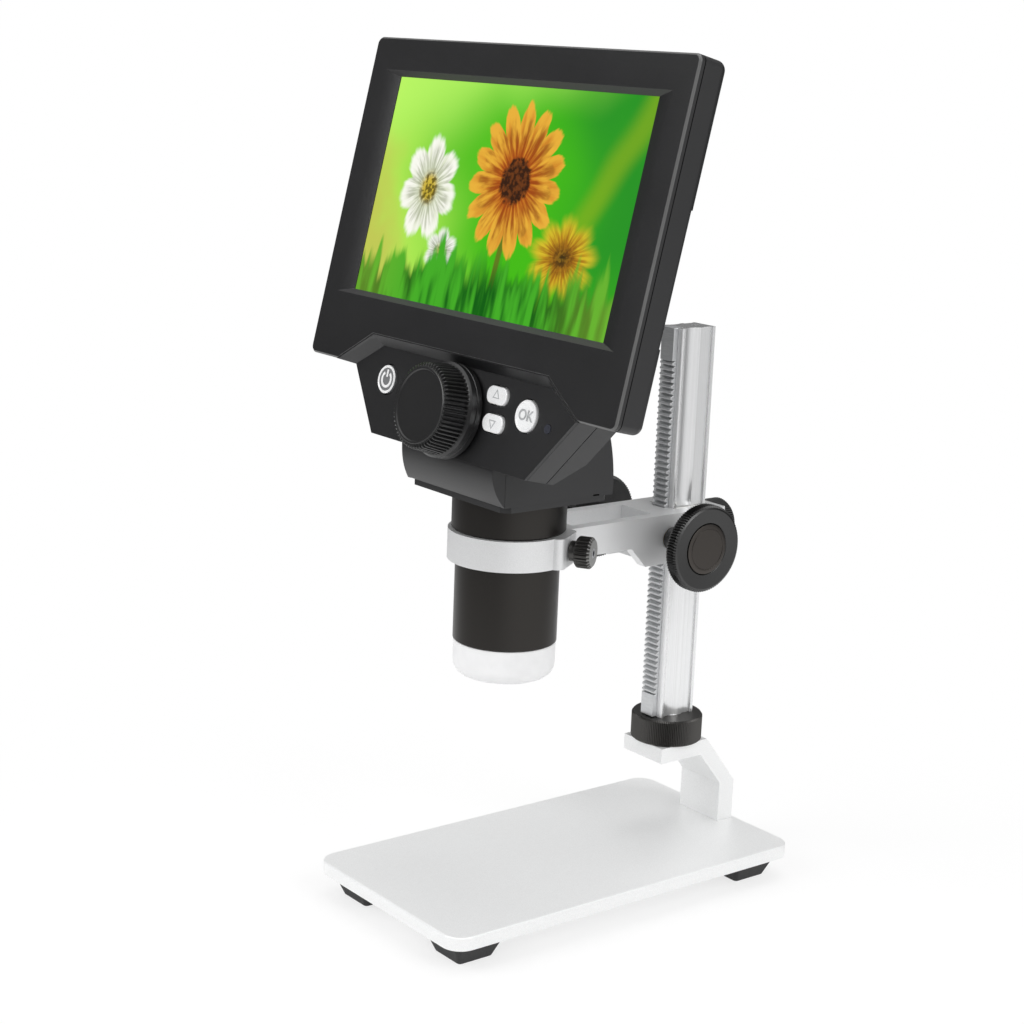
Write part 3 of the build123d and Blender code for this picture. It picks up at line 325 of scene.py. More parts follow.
brass = drawn("brass", (0.78, 0.60, 0.28), rough=0.3, stretch=even_grain, depth=0.1)
black_aluminium = blasted("black_aluminium", (0.052, 0.049, 0.046), rough=0.36, dot=0.2, depth=0.08)
knurl_black = blasted("knurl_black", (0.085, 0.085, 0.085), rough=0.38, dot=0.2, depth=0.1)
cap_disc = blasted("cap_disc", (0.084, 0.076, 0.070), rough=0.38, dot=0.2, depth=0.1)
grip_black = blasted("grip_black", (0.105, 0.102, 0.098), rough=0.42, dot=0.2, depth=0.1)
worn_end = blasted("worn_end", (0.22, 0.22, 0.215), rough=0.42, dot=0.2, depth=0.1, metal=0.0)
battery_foil = blasted("battery_foil", (0.6, 0.61, 0.63), rough=0.4, dot=2.0, depth=0.3)
print("metals ready")

# %% [markdown]
# Rubber is dark and almost without shine, with a dusty mottling. The cap is frosted acrylic, which
# scatters most of the light and lets the rest through. The boards, the bearing liners and the small
# lamp need only a little variation, because they are seen through gaps.

# %% Rubber, clear plastic and small things
def mottled(name, low, high, rough, size, depth=0.2, **fixed):
    """A material whose colour drifts between two tones, in spots of a size in millimetres."""
    paint = Paint(name, **fixed)
    cloud = paint.noise(1 / (size * mm), detail=4.0)
    paint.feed("Base Color", paint.blend(cloud.step(0.3, 0.7), low, high))
    paint.feed("Roughness", cloud * 0.1 + (rough - 0.05))
    paint.bumps(cloud, depth, 0.1)
    return paint


foot_rubber = mottled(
    "foot_rubber", (0.018, 0.018, 0.019), (0.032, 0.032, 0.033), rough=0.7, size=0.6)
liner_plastic = mottled(
    "liner_plastic", (0.78, 0.78, 0.75), (0.86, 0.86, 0.84), rough=0.45, size=3.0, depth=0.05)
board_green = mottled(
    "board_green", (0.01, 0.09, 0.03), (0.015, 0.14, 0.05), rough=0.4, size=2.0, depth=0.3)
ribbon_plastic = mottled(
    "ribbon_plastic", (0.7, 0.68, 0.6), (0.82, 0.8, 0.72), rough=0.4, size=1.0, depth=0.1)
led_white = mottled("led_white", (0.9, 0.85, 0.6), (0.95, 0.93, 0.8), rough=0.2, size=1.0, depth=0.05)
indicator_plastic = mottled(
    "indicator_plastic", (0.030, 0.032, 0.042), (0.036, 0.038, 0.050), rough=0.12, size=1.0,
    depth=0.02, Coat_Weight=0.5)
clear_plastic = mottled(
    "clear_plastic", (0.90, 0.90, 0.905), (0.93, 0.93, 0.935), rough=0.5, size=4.0, depth=0.03,
    Transmission_Weight=0.15, IOR=1.45)
lens_glass = mottled(
    "lens_glass", (0.72, 0.80, 0.88), (0.8, 0.86, 0.92), rough=0.08, size=4.0, depth=0.0,
    Transmission_Weight=0.8)
print("rubber, clear and small finishes ready")

# %% [markdown]
# The buttons are plastic with silver paint. Paint holds tiny flakes, so the metal look is only
# partial, and a noise of flake size moves both colour and roughness. The rims are almost white.
# The power button has a darker grey dish and a white sign. The signs on the other buttons are
# darker than the faces they stand on.

# %% Button paints
def flaked(name, colour, metal):
    """Silver paint with small flakes."""
    paint = Paint(name, Metallic=metal, Coat_Roughness=0.2)
    flake_size = 0.2 * mm
    flakes = paint.noise(1 / flake_size, detail=1.0)
    paint.feed("Base Color", paint.blend(flakes.step(0.4, 0.6), scaled(colour, 0.85), colour))
    paint.feed("Roughness", flakes * 0.12 + 0.28)
    paint.bumps(flakes, 0.08, 0.05)
    return paint


button_silver = flaked("button_silver", (0.96, 0.965, 0.97), metal=0.1)
button_rim = flaked("button_rim", (0.95, 0.95, 0.955), metal=0.1)
dish_grey = flaked("dish_grey", (0.20, 0.205, 0.21), metal=0.1)
symbol_grey = flaked("symbol_grey", (0.48, 0.49, 0.50), metal=0.15)
print("button paints ready")

# %% [markdown]
# The display shows what such an instrument is for: a flower seen close, sharp in the middle and
# blurred behind. It glows, so it feeds the emission colour. Everything is drawn from sums, noises
# and soft steps in the screen's own frame, in centimetres.

# %% Colours as they look on a screen
def tone(red, green, blue):
    """A colour given as 0 to 255 on a display, turned into light."""
    return tuple(
        ((share + 0.055) / 1.055) ** 2.4 if share > 0.04 else share / 12.92
        for share in (red / 255, green / 255, blue / 255))


picture = Paint("screen_picture", Roughness=0.35, Specular_IOR_Level=0.3, Emission_Strength=1.0)
picture.shader.inputs["Base Color"].default_value = (0.0, 0.0, 0.0, 1.0)
cm = 10 * mm
turned_back = {
    "Vector": picture.place,
    "Location": screen_middle,
    "Rotation": SCREEN.to_euler(),
    "Scale": (cm, cm, cm)}
on_screen = picture.node("ShaderNodeMapping", {"vector_type": "TEXTURE"}, turned_back)
cm_x = picture.part(on_screen, "X")
cm_y = picture.part(on_screen, "Y")
print("picture frame ready, in centimetres")

# %% [markdown]
# A blurred meadow is a few large, soft patches. Each patch is a smooth step across a slanted line
# that a slow noise bends, so no edge looks ruled.

# %% The blurred meadow
drift = picture.noise(0.22, detail=1.0, place=on_screen)
drift_fine = picture.noise(0.55, detail=2.0, place=on_screen)
slant = cm_x + cm_y * 0.45 + (drift - 0.5) * 6.0
meadow = picture.blend(slant.step(-8.0, 1.0), tone(176, 236, 84), tone(66, 186, 12))
meadow = picture.blend(slant.step(1.5, 8.5), meadow, tone(34, 146, 30))
left_warm = (cm_x * -1.0 - cm_y * 0.5 + (drift_fine - 0.5) * 3.0).step(5.0, 8.5)
meadow = picture.blend(left_warm * 0.8, meadow, tone(196, 190, 84))
light_top = (cm_y - cm_x * 0.25 + (drift - 0.5) * 2.5).step(2.2, 6.0)
meadow = picture.blend(light_top * 0.75, meadow, tone(190, 250, 104))
stalk_far = 1.0 - (cm_x - cm_y * 0.55 - 5.4 + (drift - 0.5) * 1.5).size().step(0.1, 1.2)
meadow = picture.blend(stalk_far * 0.55, meadow, tone(140, 178, 20))
print("meadow mixed")

# %% [markdown]
# A flower head is easiest in polar form: the distance from its middle and the angle round it.
# Petals are waves of the angle that make the rim go in and out, and the streaks on them are a
# noise that runs fast round the flower and slowly outwards.

# %% Petals, streaks and a seeded middle
def bloom(under, middle_x, middle_y, reach, petals, rim, inner, heart, blur, squash=1.0):
    """Draws one flower over a colour and returns the new colour."""
    left_right = cm_x - middle_x
    up_down = (cm_y - middle_y) / squash
    away = (left_right * left_right + up_down * up_down).root()
    round_it = left_right.direction(up_down)
    polar = picture.node("ShaderNodeCombineXYZ", None, {
        "X": round_it.sine() * 3.0, "Y": round_it.cosine() * 3.0, "Z": away * 0.35})
    streak = picture.noise(2.6, detail=3.0, place=polar)
    wave_one = (round_it * (petals / 2.0)).cosine().size().power(0.6)
    wave_two = (round_it * (petals / 2.0) + 1.1).sine().size().power(0.6)
    edge_one = wave_one * (reach * 0.34) + (streak - 0.5) * (reach * 0.22) + reach * 0.66
    edge_two = wave_two * (reach * 0.30) + (streak - 0.5) * (reach * 0.2) + reach * 0.52
    back_row = 1.0 - (away - edge_one).step(-blur, blur)
    front_row = 1.0 - (away - edge_two).step(-blur, blur)
    along = away / reach
    back_colour = picture.blend((along + (streak - 0.5) * 0.9).step(0.3, 1.0), inner, rim)
    front_colour = picture.blend((along + (streak - 0.5) * 1.1).step(0.2, 0.9), inner, rim)
    shaded = picture.blend(streak.step(0.35, 0.62) * 0.5 + 0.5, scaled(inner, 0.35), front_colour)
    drawn_back = picture.blend(back_row, under, back_colour)
    drawn_front = picture.blend(front_row, drawn_back, shaded)
    seeds = picture.noise(5.0, detail=2.0, place=on_screen)
    heart_blur = blur + 0.05
    heart_edge = 1.0 - (away + (seeds - 0.5) * 0.5 - reach * 0.3).step(-heart_blur, heart_blur)
    heart_colour = picture.blend(seeds.step(0.42, 0.6), scaled(heart, 0.25), heart)
    return picture.blend(heart_edge, drawn_front, heart_colour)


scene_colour = bloom(
    meadow, 4.5, -1.7, reach=1.7, petals=9, rim=tone(214, 190, 40), inner=tone(190, 120, 20),
    heart=tone(120, 90, 20), blur=0.5, squash=0.8)
scene_colour = bloom(
    scene_colour, -4.3, 0.1, reach=1.75, petals=7, rim=tone(250, 250, 240), inner=tone(214, 222, 190),
    heart=tone(206, 180, 60), blur=0.16, squash=1.15)
scene_colour = bloom(
    scene_colour, -2.7, -2.2, reach=0.95, petals=6, rim=tone(246, 248, 240),
    inner=tone(206, 214, 190), heart=tone(190, 176, 80), blur=0.18, squash=0.9)
stem_path = (cm_x - 1.1 - (cm_y * 0.5).sine() * 0.25).size()
stem = (1.0 - stem_path.step(0.10, 0.2)) * (1.0 - cm_y.step(-0.6, 0.2))
scene_colour = picture.blend(stem, scene_colour, tone(96, 120, 24))
scene_colour = bloom(
    scene_colour, 0.9, 0.8, reach=2.75, petals=15, rim=tone(232, 176, 56), inner=tone(184, 84, 14),
    heart=tone(104, 54, 16), blur=0.09, squash=1.05)
print("a marigold, two white flowers and a large orange one drawn")

# %% [markdown]
# Grass at the lower edge is a noise stretched along a slant. It rises and falls with a second
# noise, and it covers the stems, so the flowers seem to stand behind it.

# %% Grass in front
leaning = picture.node("ShaderNodeMapping", None, {
    "Vector": on_screen, "Rotation": (0.0, 0.0, math.radians(-24.0)), "Scale": (1.5, 0.22, 1.0)})
blades = picture.noise(1.3, detail=2.0, place=leaning)
ground = 1.0 - (cm_y + 2.75 - (blades - 0.5) * 4.2 - (drift - 0.5) * 2.0).step(-0.35, 0.5)
blade_colour = picture.blend(blades.step(0.36, 0.62), tone(4, 92, 6), tone(66, 172, 34))
blade_colour = picture.blend(cm_x.size().step(3.0, 8.0) * 0.35, blade_colour, tone(150, 190, 60))
scene_colour = picture.blend(ground, scene_colour, blade_colour)
picture.feed("Emission Color", scene_colour)
screen_edge = mottled(
    "screen_edge", (0.006, 0.006, 0.007), (0.009, 0.009, 0.01), rough=0.3, size=2.0, depth=0.02)
print("picture nodes:", len(picture.tree.nodes))

# %% [markdown]
# Most helpers below act on one piece at a time. Operators work on whatever is selected, and the
# loaded frame is still selected, so each helper first selects its own piece and nothing else.

# %% Modelling helpers
def only(piece):
    """Selects one piece alone."""
    bpy.ops.object.select_all(action="DESELECT")
    piece.select_set(True)
    bpy.context.view_layer.objects.active = piece


def mode(kind):
    """Puts the active piece in EDIT or OBJECT mode."""
    bpy.ops.object.mode_set(mode=kind)


def added(name, operator, **settings):
    """Adds one object with an operator and names it."""
    bpy.ops.object.select_all(action="DESELECT")
    operator(**settings)
    bpy.context.active_object.name = name
    return bpy.context.active_object


def none_selected(piece, kind):
    """Leaves a piece in object mode with none of its corners or faces selected."""
    only(piece)
    mode("EDIT")
    bpy.ops.mesh.select_mode(type=kind)
    bpy.ops.mesh.select_all(action="DESELECT")
    mode("OBJECT")


def in_edit(piece, *steps):
    """Runs steps on the whole piece in edit mode."""
    only(piece)
    mode("EDIT")
    bpy.ops.mesh.select_all(action="SELECT")
    for step in steps:
        step()
    mode("OBJECT")


def modify(piece, kind, **settings):
    """Adds a modifier and applies it."""
    only(piece)
    modifier = piece.modifiers.new(kind.lower(), kind)
    for key, value in settings.items():
        setattr(modifier, key, value)
    bpy.ops.object.modifier_apply(modifier=modifier.name)


def smooth(piece, angle=30.0):
    """Smooth shading that keeps real edges crisp."""
    only(piece)
    bpy.ops.object.shade_smooth_by_angle(angle=math.radians(angle))


def ease_edges(piece, width, segments=2, angle=28.0):
    """Breaks the sharp edges, as a file or a mould would."""
    modify(piece, "BEVEL", width=width * mm, segments=segments, limit_method="ANGLE",
           angle_limit=math.radians(angle), use_clamp_overlap=True)
    smooth(piece, 40.0)
    modify(piece, "WEIGHTED_NORMAL", keep_sharp=True)


def fit(piece, body, slot, paint, *solids):
    """Gives a finished piece its material, the body it moves with and the solids it stands for."""
    if paint:
        finish(piece, paint)
    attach(piece, body)
    if solids:
        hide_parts(*solids)
    print(piece.name, "faces:", len(piece.data.polygons))


def settle(piece, place):
    """Moves a piece to its place and leaves the move in the mesh."""
    only(piece)
    piece.matrix_world = place
    bpy.ops.object.transform_apply(location=True, rotation=True, scale=True)


def twin(piece, name):
    """A copy with its own mesh."""
    copy = piece.copy()
    copy.data = piece.data.copy()
    copy.name = name
    bpy.context.scene.collection.objects.link(copy)
    return copy


def repaint(piece, paint, direction, facing_share=0.6):
    """Gives the faces that look roughly along a direction a second paint."""
    piece.data.materials.append(paint.material)
    chosen = [face for face in piece.data.polygons if face.normal.dot(direction) > facing_share]
    for face in chosen:
        face.material_index = 1
    print(piece.name, "faces in", paint.material.name + ":", len(chosen))


def facing(origin, direction):
    """A frame whose z axis points along a direction."""
    return Matrix.Translation(origin) @ Vector(direction).to_track_quat("Z", "Y").to_matrix().to_4x4()


def middle(name):
    """The middle of a solid's upright box."""
    low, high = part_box(name)
    return (Vector(low) + Vector(high)) / 2


def screen_middle_of(name):
    """The middle of a solid, measured along the screen's own directions."""
    solid = nodes[name]
    to_screen = SCREEN.inverted() @ solid.matrix_world
    along = zip(*[to_screen @ corner.co for corner in solid.data.vertices])
    return Vector([(min(values) + max(values)) / 2 for values in along])


print("helpers ready")

# %% [markdown]
# A solid from the frame comes as loose triangles with knife-sharp edges. Real edges are broken,
# and they catch a thin line of light. So a copy is welded, its flat faces are joined, and every
# sharp edge gets a small bevel. The copy then stands for the solid. The front of the column is
# milled flat, so it gets its own finish. The slanted faces of the bezel are painted a little paler,
# a painted sheen of the light they catch: at the outer edge, and round the picture, where the
# slope is also matt.

# %% Broken edges on the plain solids
def eased(name, width, paint, segments=2):
    """A welded copy of a solid with broken edges."""
    piece = twin(nodes[name], name + "_eased")
    only(piece)
    bpy.ops.mesh.customdata_custom_splitnormals_clear()
    in_edit(
        piece,
        lambda: bpy.ops.mesh.remove_doubles(threshold=0.002 * mm),
        lambda: bpy.ops.mesh.dissolve_limited(angle_limit=math.radians(0.5)))
    ease_edges(piece, width, segments)
    fit(piece, body_of[name], slot_of[name], paint, name)
    return piece


eased("base_plate", 0.5, plate_aluminium, 3)
eased("rubber_feet", 0.8, foot_rubber, 3)
eased("column_bracket", 0.45, plate_aluminium)
repaint(eased("column", 0.3, column_aluminium), milled_aluminium, Vector((0, -1, 0)))
eased("rack", 0.12, rack_steel, 1)
eased("carriage_arm", 0.4, arm_aluminium)
eased("rear_case", 0.5, case_plastic)
bezel = eased("front_bezel", 0.2, case_plastic)
eased("control_panel", 0.4, pod_plastic)
eased("control_fascia", 0.22, fascia_plastic)
eased("neck_housing", 0.6, case_plastic)
eased("neck_front_cover", 0.4, case_plastic)
eased("neck_base_plate", 0.4, case_plastic)
# Slanted bezel faces get paler paints, a painted sheen: index 1 round the picture (a matt slope), index 2 at the
# outer edge.
for paint in (bevel_painted_sheen, edge_painted_sheen):
    bezel.data.materials.append(paint.material)
half_wide, half_high = 82.0, 50.0
for face in bezel.data.polygons:
    spot = SCREEN.inverted() @ face.center / mm
    if 0.2 < face.normal.dot(out_of_screen) < 0.97:
        inner = abs(spot.x) < half_wide and abs(spot.y) < half_high
        face.material_index = 1 if inner else 2
print("slanted bezel faces:", sum(face.material_index > 0 for face in bezel.data.polygons))

# %% [markdown]
# Round parts start as one circle. It is pulled along its axis and made wider or narrower, ring by
# ring, which is how a lathe tool follows a profile. When the last ring meets the first, the part
# is a ring with a hole. Otherwise both ends get a lid.

# %% A lathe made of extrusions
def turned(name, sides, rings, hollow=False):
    """Turns a profile of (radius, height) rings, in millimetres."""
    radius, height = rings[0]
    piece = added(
        name, bpy.ops.mesh.primitive_circle_add,
        vertices=sides, radius=radius * mm, location=(0, 0, height * mm))
    bpy.ops.object.transform_apply(location=True)
    mode("EDIT")
    bpy.ops.mesh.select_mode(type="EDGE")
    bpy.ops.mesh.select_all(action="SELECT")
    if not hollow:
        bpy.ops.mesh.edge_face_add()
    for next_radius, next_height in rings[1:] + (rings[:1] if hollow else []):
        rise = (0, 0, (next_height - height) * mm)
        if hollow:
            bpy.ops.mesh.extrude_edges_move(TRANSFORM_OT_translate={"value": rise})
        else:
            bpy.ops.mesh.extrude_region_move(TRANSFORM_OT_translate={"value": rise})
        grow = next_radius / radius
        bpy.ops.transform.resize(value=(grow, grow, 1.0), center_override=(0, 0, next_height * mm))
        radius, height = next_radius, next_height
    bpy.ops.mesh.select_all(action="SELECT")
    bpy.ops.mesh.remove_doubles(threshold=0.001 * mm)
    bpy.ops.mesh.normals_make_consistent(inside=False)
    mode("OBJECT")
    return piece


barrel_axis = middle("barrel_tube")
barrel_axis.z = 0.0
barrel_place = Matrix.Translation(barrel_axis)
barrel_low, barrel_high = [corner[2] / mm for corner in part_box("barrel_tube")]
barrel_radius = 20.5
barrel_bore = 18.5
mouth_edge = 0.4
barrel = turned("barrel", 160, [
    (barrel_radius - mouth_edge, barrel_low), (barrel_radius, barrel_low + mouth_edge),
    (barrel_radius, barrel_high), (barrel_bore, barrel_high), (barrel_bore, barrel_low + mouth_edge),
    (barrel_bore + mouth_edge, barrel_low)], hollow=True)
settle(barrel, barrel_place)
smooth(barrel)
fit(barrel, "head", "black_aluminium", black_aluminium, "barrel_tube")
collar_low, collar_high = [corner[2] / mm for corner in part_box("barrel_collar")]
collar_radius = 22.4
collar_bore = barrel_radius + 0.05
collar_foot = 0.6
collar_top = 0.3
collar = turned("collar", 160, [
    (collar_radius - collar_foot, collar_low), (collar_radius, collar_low + collar_foot),
    (collar_radius, collar_high - collar_top), (collar_radius - collar_top, collar_high),
    (collar_bore, collar_high), (collar_bore, collar_low)], hollow=True)
settle(collar, barrel_place)
smooth(collar)
fit(collar, "head", "black_aluminium", black_aluminium, "barrel_collar")

# %% [markdown]
# The cap is a frosted cup with a rounded bottom edge and an opening under the lens. Some light
# goes through it, so its thickness shows and the inside needs its own rounded corner. A short
# spigot inside the barrel holds it.

# %% Frosted cap
cap_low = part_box("clear_cap")[0][2] / mm
cap_radius = 20.2
cap_mouth = 6.5
cap_wall = 1.6
cap_corner = 5.5
inner_corner = cap_corner - cap_wall
corner_place = cap_radius - cap_corner
inner_place = 14.2
spigot_radius = 18.4
spigot_bore = 17.2
spigot_top = barrel_low + 4.0
leans = [math.radians(step * 15.0) for step in range(7)]
cap_profile = [(cap_mouth, cap_low)]
corner_height = cap_low + cap_corner
for lean in leans:
    cap_profile.append((
        corner_place + cap_corner * math.sin(lean), corner_height - cap_corner * math.cos(lean)))
cap_profile += [
    (cap_radius, barrel_low - 0.3), (cap_radius - 0.3, barrel_low), (spigot_radius, barrel_low),
    (spigot_radius, spigot_top), (spigot_bore, spigot_top)]
for lean in reversed(leans):
    cap_profile.append((
        inner_place + inner_corner * math.sin(lean), corner_height - inner_corner * math.cos(lean)))
cap_profile.append((cap_mouth, cap_low + cap_wall))
clear_cap = turned("cap_cup", 128, cap_profile, hollow=True)
settle(clear_cap, barrel_place)
smooth(clear_cap)
fit(clear_cap, "head", "clear_plastic", clear_plastic, "clear_cap")

# %% [markdown]
# Grips are cut with a knurling wheel, or moulded as ribs. On a turned piece with enough sides it
# is enough to pull some of the corners towards the axis: every second one gives a fine knurl, two
# of every four give square ribs.

# %% Ribs and knurls
def ribbed(piece, sides, every, sunk, low, high, least, depth):
    """Sinks some corners of the rings between two heights, in millimetres."""
    none_selected(piece, "VERT")
    spare = 0.01
    count = 0
    for point in piece.data.vertices:
        x, y, z = point.co / mm
        number = round(math.atan2(y, x) / (2 * math.pi / sides)) % every
        if low - spare < z < high + spare and math.hypot(x, y) > least and number in sunk:
            point.select = True
            count += 1
    mode("EDIT")
    shrink = 1.0 - depth / least
    bpy.ops.transform.resize(value=(shrink, shrink, 1.0), center_override=(0, 0, 0))
    mode("OBJECT")
    print(piece.name, "sunk corners:", count)


print("rib helper ready")

# %% [markdown]
# The two big knobs raise the arm. Each is a thick disc with a fine straight knurl, a slightly
# conical face and a round pocket for a grey disc. One is turned and knurled, and its twin goes to
# the other side.

# %% Height knobs
def set_both_sides(piece, twin_name, solid, slot, paint, angle):
    """Sets a turned piece on the right end of the shaft and its twin on the left end."""
    other = twin(piece, twin_name)
    for thing, side, out in ((piece, "_right", (1, 0, 0)), (other, "_left", (-1, 0, 0))):
        settle(thing, facing(drive_axis, out))
        smooth(thing, angle)
        fit(thing, "height_drive", slot, paint, solid + side)


drive_axis = middle("pinion_shaft")
drive_axis.x = 0.0
knob_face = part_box("height_knob_right")[1][0] / mm
knob_back = knob_face - 6.1
knob_radius = 17.8
shaft_bore = 2.55
hub_radius = 4.75
hub_start = 14.4
pocket_radius = 10.2
pocket_floor = knob_face - 1.0
height_knob = turned("height_grip_right", 192, [
    (shaft_bore, hub_start), (hub_radius, hub_start), (hub_radius, knob_back),
    (knob_radius - 1.3, knob_back), (knob_radius, knob_back + 1.1),
    (knob_radius, knob_face - 1.3), (knob_radius - 0.9, knob_face - 0.4),
    (knob_radius - 1.6, knob_face), (pocket_radius + 0.5, knob_face - 0.5),
    (pocket_radius, pocket_floor), (shaft_bore, pocket_floor)], hollow=True)
ribbed(height_knob, 192, 2, (1,), knob_back + 1.0, knob_face - 1.2, least=17.0, depth=0.6)
set_both_sides(height_knob, "height_grip_left", "height_knob", "black_aluminium", knurl_black, 25.0)

# %% [markdown]
# The grey disc in the knob is turned too, with a thin groove near its rim.

# %% Discs in the knobs
disc_radius = pocket_radius - 0.1
disc_face = knob_face - 0.25
groove_floor = disc_face - 0.15
grip_disc = turned("grip_disc_right", 120, [
    (disc_radius, pocket_floor), (disc_radius, disc_face - 0.1), (disc_radius - 0.2, disc_face),
    (8.5, disc_face), (8.4, groove_floor), (8.15, groove_floor), (8.05, disc_face), (0.4, disc_face)])
set_both_sides(grip_disc, "grip_disc_left", "knob_cap", "cap_disc", cap_disc, 30.0)

# %% [markdown]
# The ring under the column is a plain nut with a fine upright knurl between two broken edges.

# %% Lock ring
ring_low, ring_high = [corner[2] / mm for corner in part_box("column_lock_ring")]
nut_radius, nut_bore, nut_edge = 15.0, 6.25, 0.6
lock_ring = turned("lock_ring_nut", 240, [
    (nut_bore, ring_low), (nut_radius - nut_edge, ring_low), (nut_radius, ring_low + 0.5),
    (nut_radius, ring_high - 0.8), (nut_radius - nut_edge, ring_high), (nut_bore, ring_high)],
    hollow=True)
ribbed(lock_ring, 240, 2, (1,), ring_low + 0.4, ring_high - 0.7, least=14.8, depth=0.4)
ring_axis = middle("column_lock_ring")
ring_axis.z = 0.0
settle(lock_ring, Matrix.Translation(ring_axis))
smooth(lock_ring, 25.0)
fit(lock_ring, "lock_ring", "black_aluminium", grip_black, "column_lock_ring")

# %% [markdown]
# Two small screws are turned by hand: one behind the column, with a fine knurl, and one on the
# clamp ring, with coarse ribs. The end of the second is worn grey, and its stud shows in the hole.

# %% Small knobs
rear_low, rear_high = [corner[1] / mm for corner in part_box("lock_knob")]
rear_axis = middle("lock_knob")
rear_axis.y = 0.0
lock_radius = 9.8
lock_edge = 0.9
dish_floor = rear_high - 0.5
lock_knob = turned("slide_lock_grip", 120, [
    (lock_radius - lock_edge, rear_low), (lock_radius, rear_low + 0.8),
    (lock_radius, rear_high - lock_edge), (lock_radius - lock_edge, rear_high), (5.2, rear_high),
    (4.9, dish_floor), (0.4, dish_floor)])
ribbed(lock_knob, 120, 2, (1,), rear_low + 0.7, rear_high - 0.8, least=9.2, depth=0.45)
settle(lock_knob, facing(rear_axis, (0, 1, 0)))
smooth(lock_knob, 25.0)
fit(lock_knob, "slide_lock", "black_aluminium", knurl_black, "lock_knob")

clamp_axis = Vector(joints["ring_clamp_turn"]["axis"]).normalized()
if clamp_axis.x < 0:
    clamp_axis = -clamp_axis
clamp_root = Vector((barrel_axis.x, barrel_axis.y, middle("clamp_knob").z))
stud_bore, clamp_hub, clamp_radius = 2.05, 4.0, 6.2
hub_foot, grip_foot, grip_end = 26.0, 28.6, 35.0
clamp_grip = turned("ring_clamp_grip", 96, [
    (stud_bore, hub_foot), (clamp_hub, hub_foot), (clamp_hub, grip_foot),
    (clamp_radius - 0.6, grip_foot), (clamp_radius, grip_foot + 0.6), (clamp_radius, grip_end - 1.0),
    (clamp_radius - 1.0, grip_end - 0.1), (clamp_radius - 1.4, grip_end), (stud_bore, grip_end)],
    hollow=True)
ribbed(clamp_grip, 96, 4, (2, 3), grip_foot + 0.5, grip_end - 0.9, least=6.0, depth=0.7)
settle(clamp_grip, facing(clamp_root, clamp_axis))
smooth(clamp_grip, 25.0)
fit(clamp_grip, "ring_clamp", "black_aluminium", grip_black, "clamp_knob")
repaint(clamp_grip, worn_end, clamp_axis)

# %% [markdown]
# The focus wheel is the grip that is used most, so it is large and ribbed. Sixty square ribs run
# over its slightly tapered side and end at the front edge, which looks scalloped. Two smooth bands
# close it at the back. A thin rim stands round its face, which is a smooth shallow dish.

# %% Focus wheel
wheel_place = SCREEN @ Matrix.Translation((0.0, screen_middle_of("focus_wheel").y, 0.0))
band_radius = 18.2
groove_radius = 17.85
shoulder_radius = 16.35
rim_radius = 14.3
rim_front = 11.9
wheel_rings = [
    (band_radius - 0.6, -4.2), (band_radius, -3.7), (band_radius, -1.7),
    (groove_radius, -1.5), (groove_radius, -1.1), (band_radius, -0.9), (band_radius, 0.9),
    (17.7, 1.4), (17.3, 1.7), (17.27, 2.0), (shoulder_radius, 10.7), (shoulder_radius - 0.6, 11.3),
    (rim_radius + 0.4, 11.4), (rim_radius + 0.3, 11.75), (rim_radius, rim_front),
    (rim_radius - 0.6, rim_front), (rim_radius - 1.0, 11.45), (6.0, 11.3), (0.5, 11.25)]
focus_grip = turned("focus_grip", 240, wheel_rings)
ribbed(focus_grip, 240, 4, (2, 3), 1.9, 11.35, least=15.2, depth=1.15)
settle(focus_grip, wheel_place)
smooth(focus_grip, 25.0)
fit(focus_grip, "focus_drive", "case_plastic", wheel_plastic, "focus_wheel")

# %% [markdown]
# The round buttons have a rim and a shallow dish that guides a fingertip. The two keys keep their
# solids' shape with softer edges. Every cap reaches down to its flange, so no gap shows a hole.
# Faces that slant are the rims, and they get the lighter paint.

# %% Button caps
def on_panel(name):
    """The screen frame moved to the middle of a button."""
    spot = screen_middle_of(name)
    return SCREEN @ Matrix.Translation((spot.x, spot.y, 0.0))


def rim_paint(cap, face_paint, rim_reach):
    """Gives a cap two paints: slanted faces near its edge are rim, the rest is face."""
    finish(cap, face_paint)
    cap.data.materials.append(button_rim.material)
    heart = sum((face.center for face in cap.data.polygons), Vector()) / len(cap.data.polygons)
    rims = 0
    for face in cap.data.polygons:
        offset = face.center - heart
        sideways = (offset - out_of_screen * offset.dot(out_of_screen)).length
        if 0.15 < face.normal.dot(out_of_screen) < 0.998 and sideways > rim_reach * mm:
            face.material_index = 1
            rims += 1
    print(cap.name, "rim faces:", rims)


def round_cap(name, radius, dish):
    """The rings of a round button with a raised rim and a shallow dish."""
    top = button_front
    stem_radius, flange_radius = 1.5, radius + 1.2
    flange_back, flange_front = top - 5.05, top - 4.05
    return turned(name, 96, [
        (stem_radius, top - 6.25), (stem_radius, flange_back), (flange_radius, flange_back),
        (flange_radius, flange_front), (radius, flange_front), (radius, top - 0.35),
        (radius - 0.25, top - 0.06), (radius - 0.5, top), (radius - 0.8, top - 0.05),
        (radius - 1.05, top - dish), (3.0, top - dish - 0.1), (0.4, top - dish - 0.12)])


button_front = -4.0
for name, radius, face_paint in (("power_button", 5.6, dish_grey), ("ok_button", 5.9, button_silver)):
    cap = round_cap(name + "_cap", radius, dish=0.28)
    settle(cap, on_panel(name))
    smooth(cap, 35.0)
    fit(cap, body_of[name], "button_plastic", face_paint, name)
    rim_paint(cap, face_paint, rim_reach=4.4)
for name in ("up_button", "down_button"):
    key = eased(name, 0.35, button_silver, segments=3)
    rim_paint(key, button_silver, rim_reach=1.0)

# %% [markdown]
# The symbols are generic signs: a bold broken ring with a bar for power, two hollow triangles and
# the letters OK. Each is a thin raised shape, so it reads from any side.

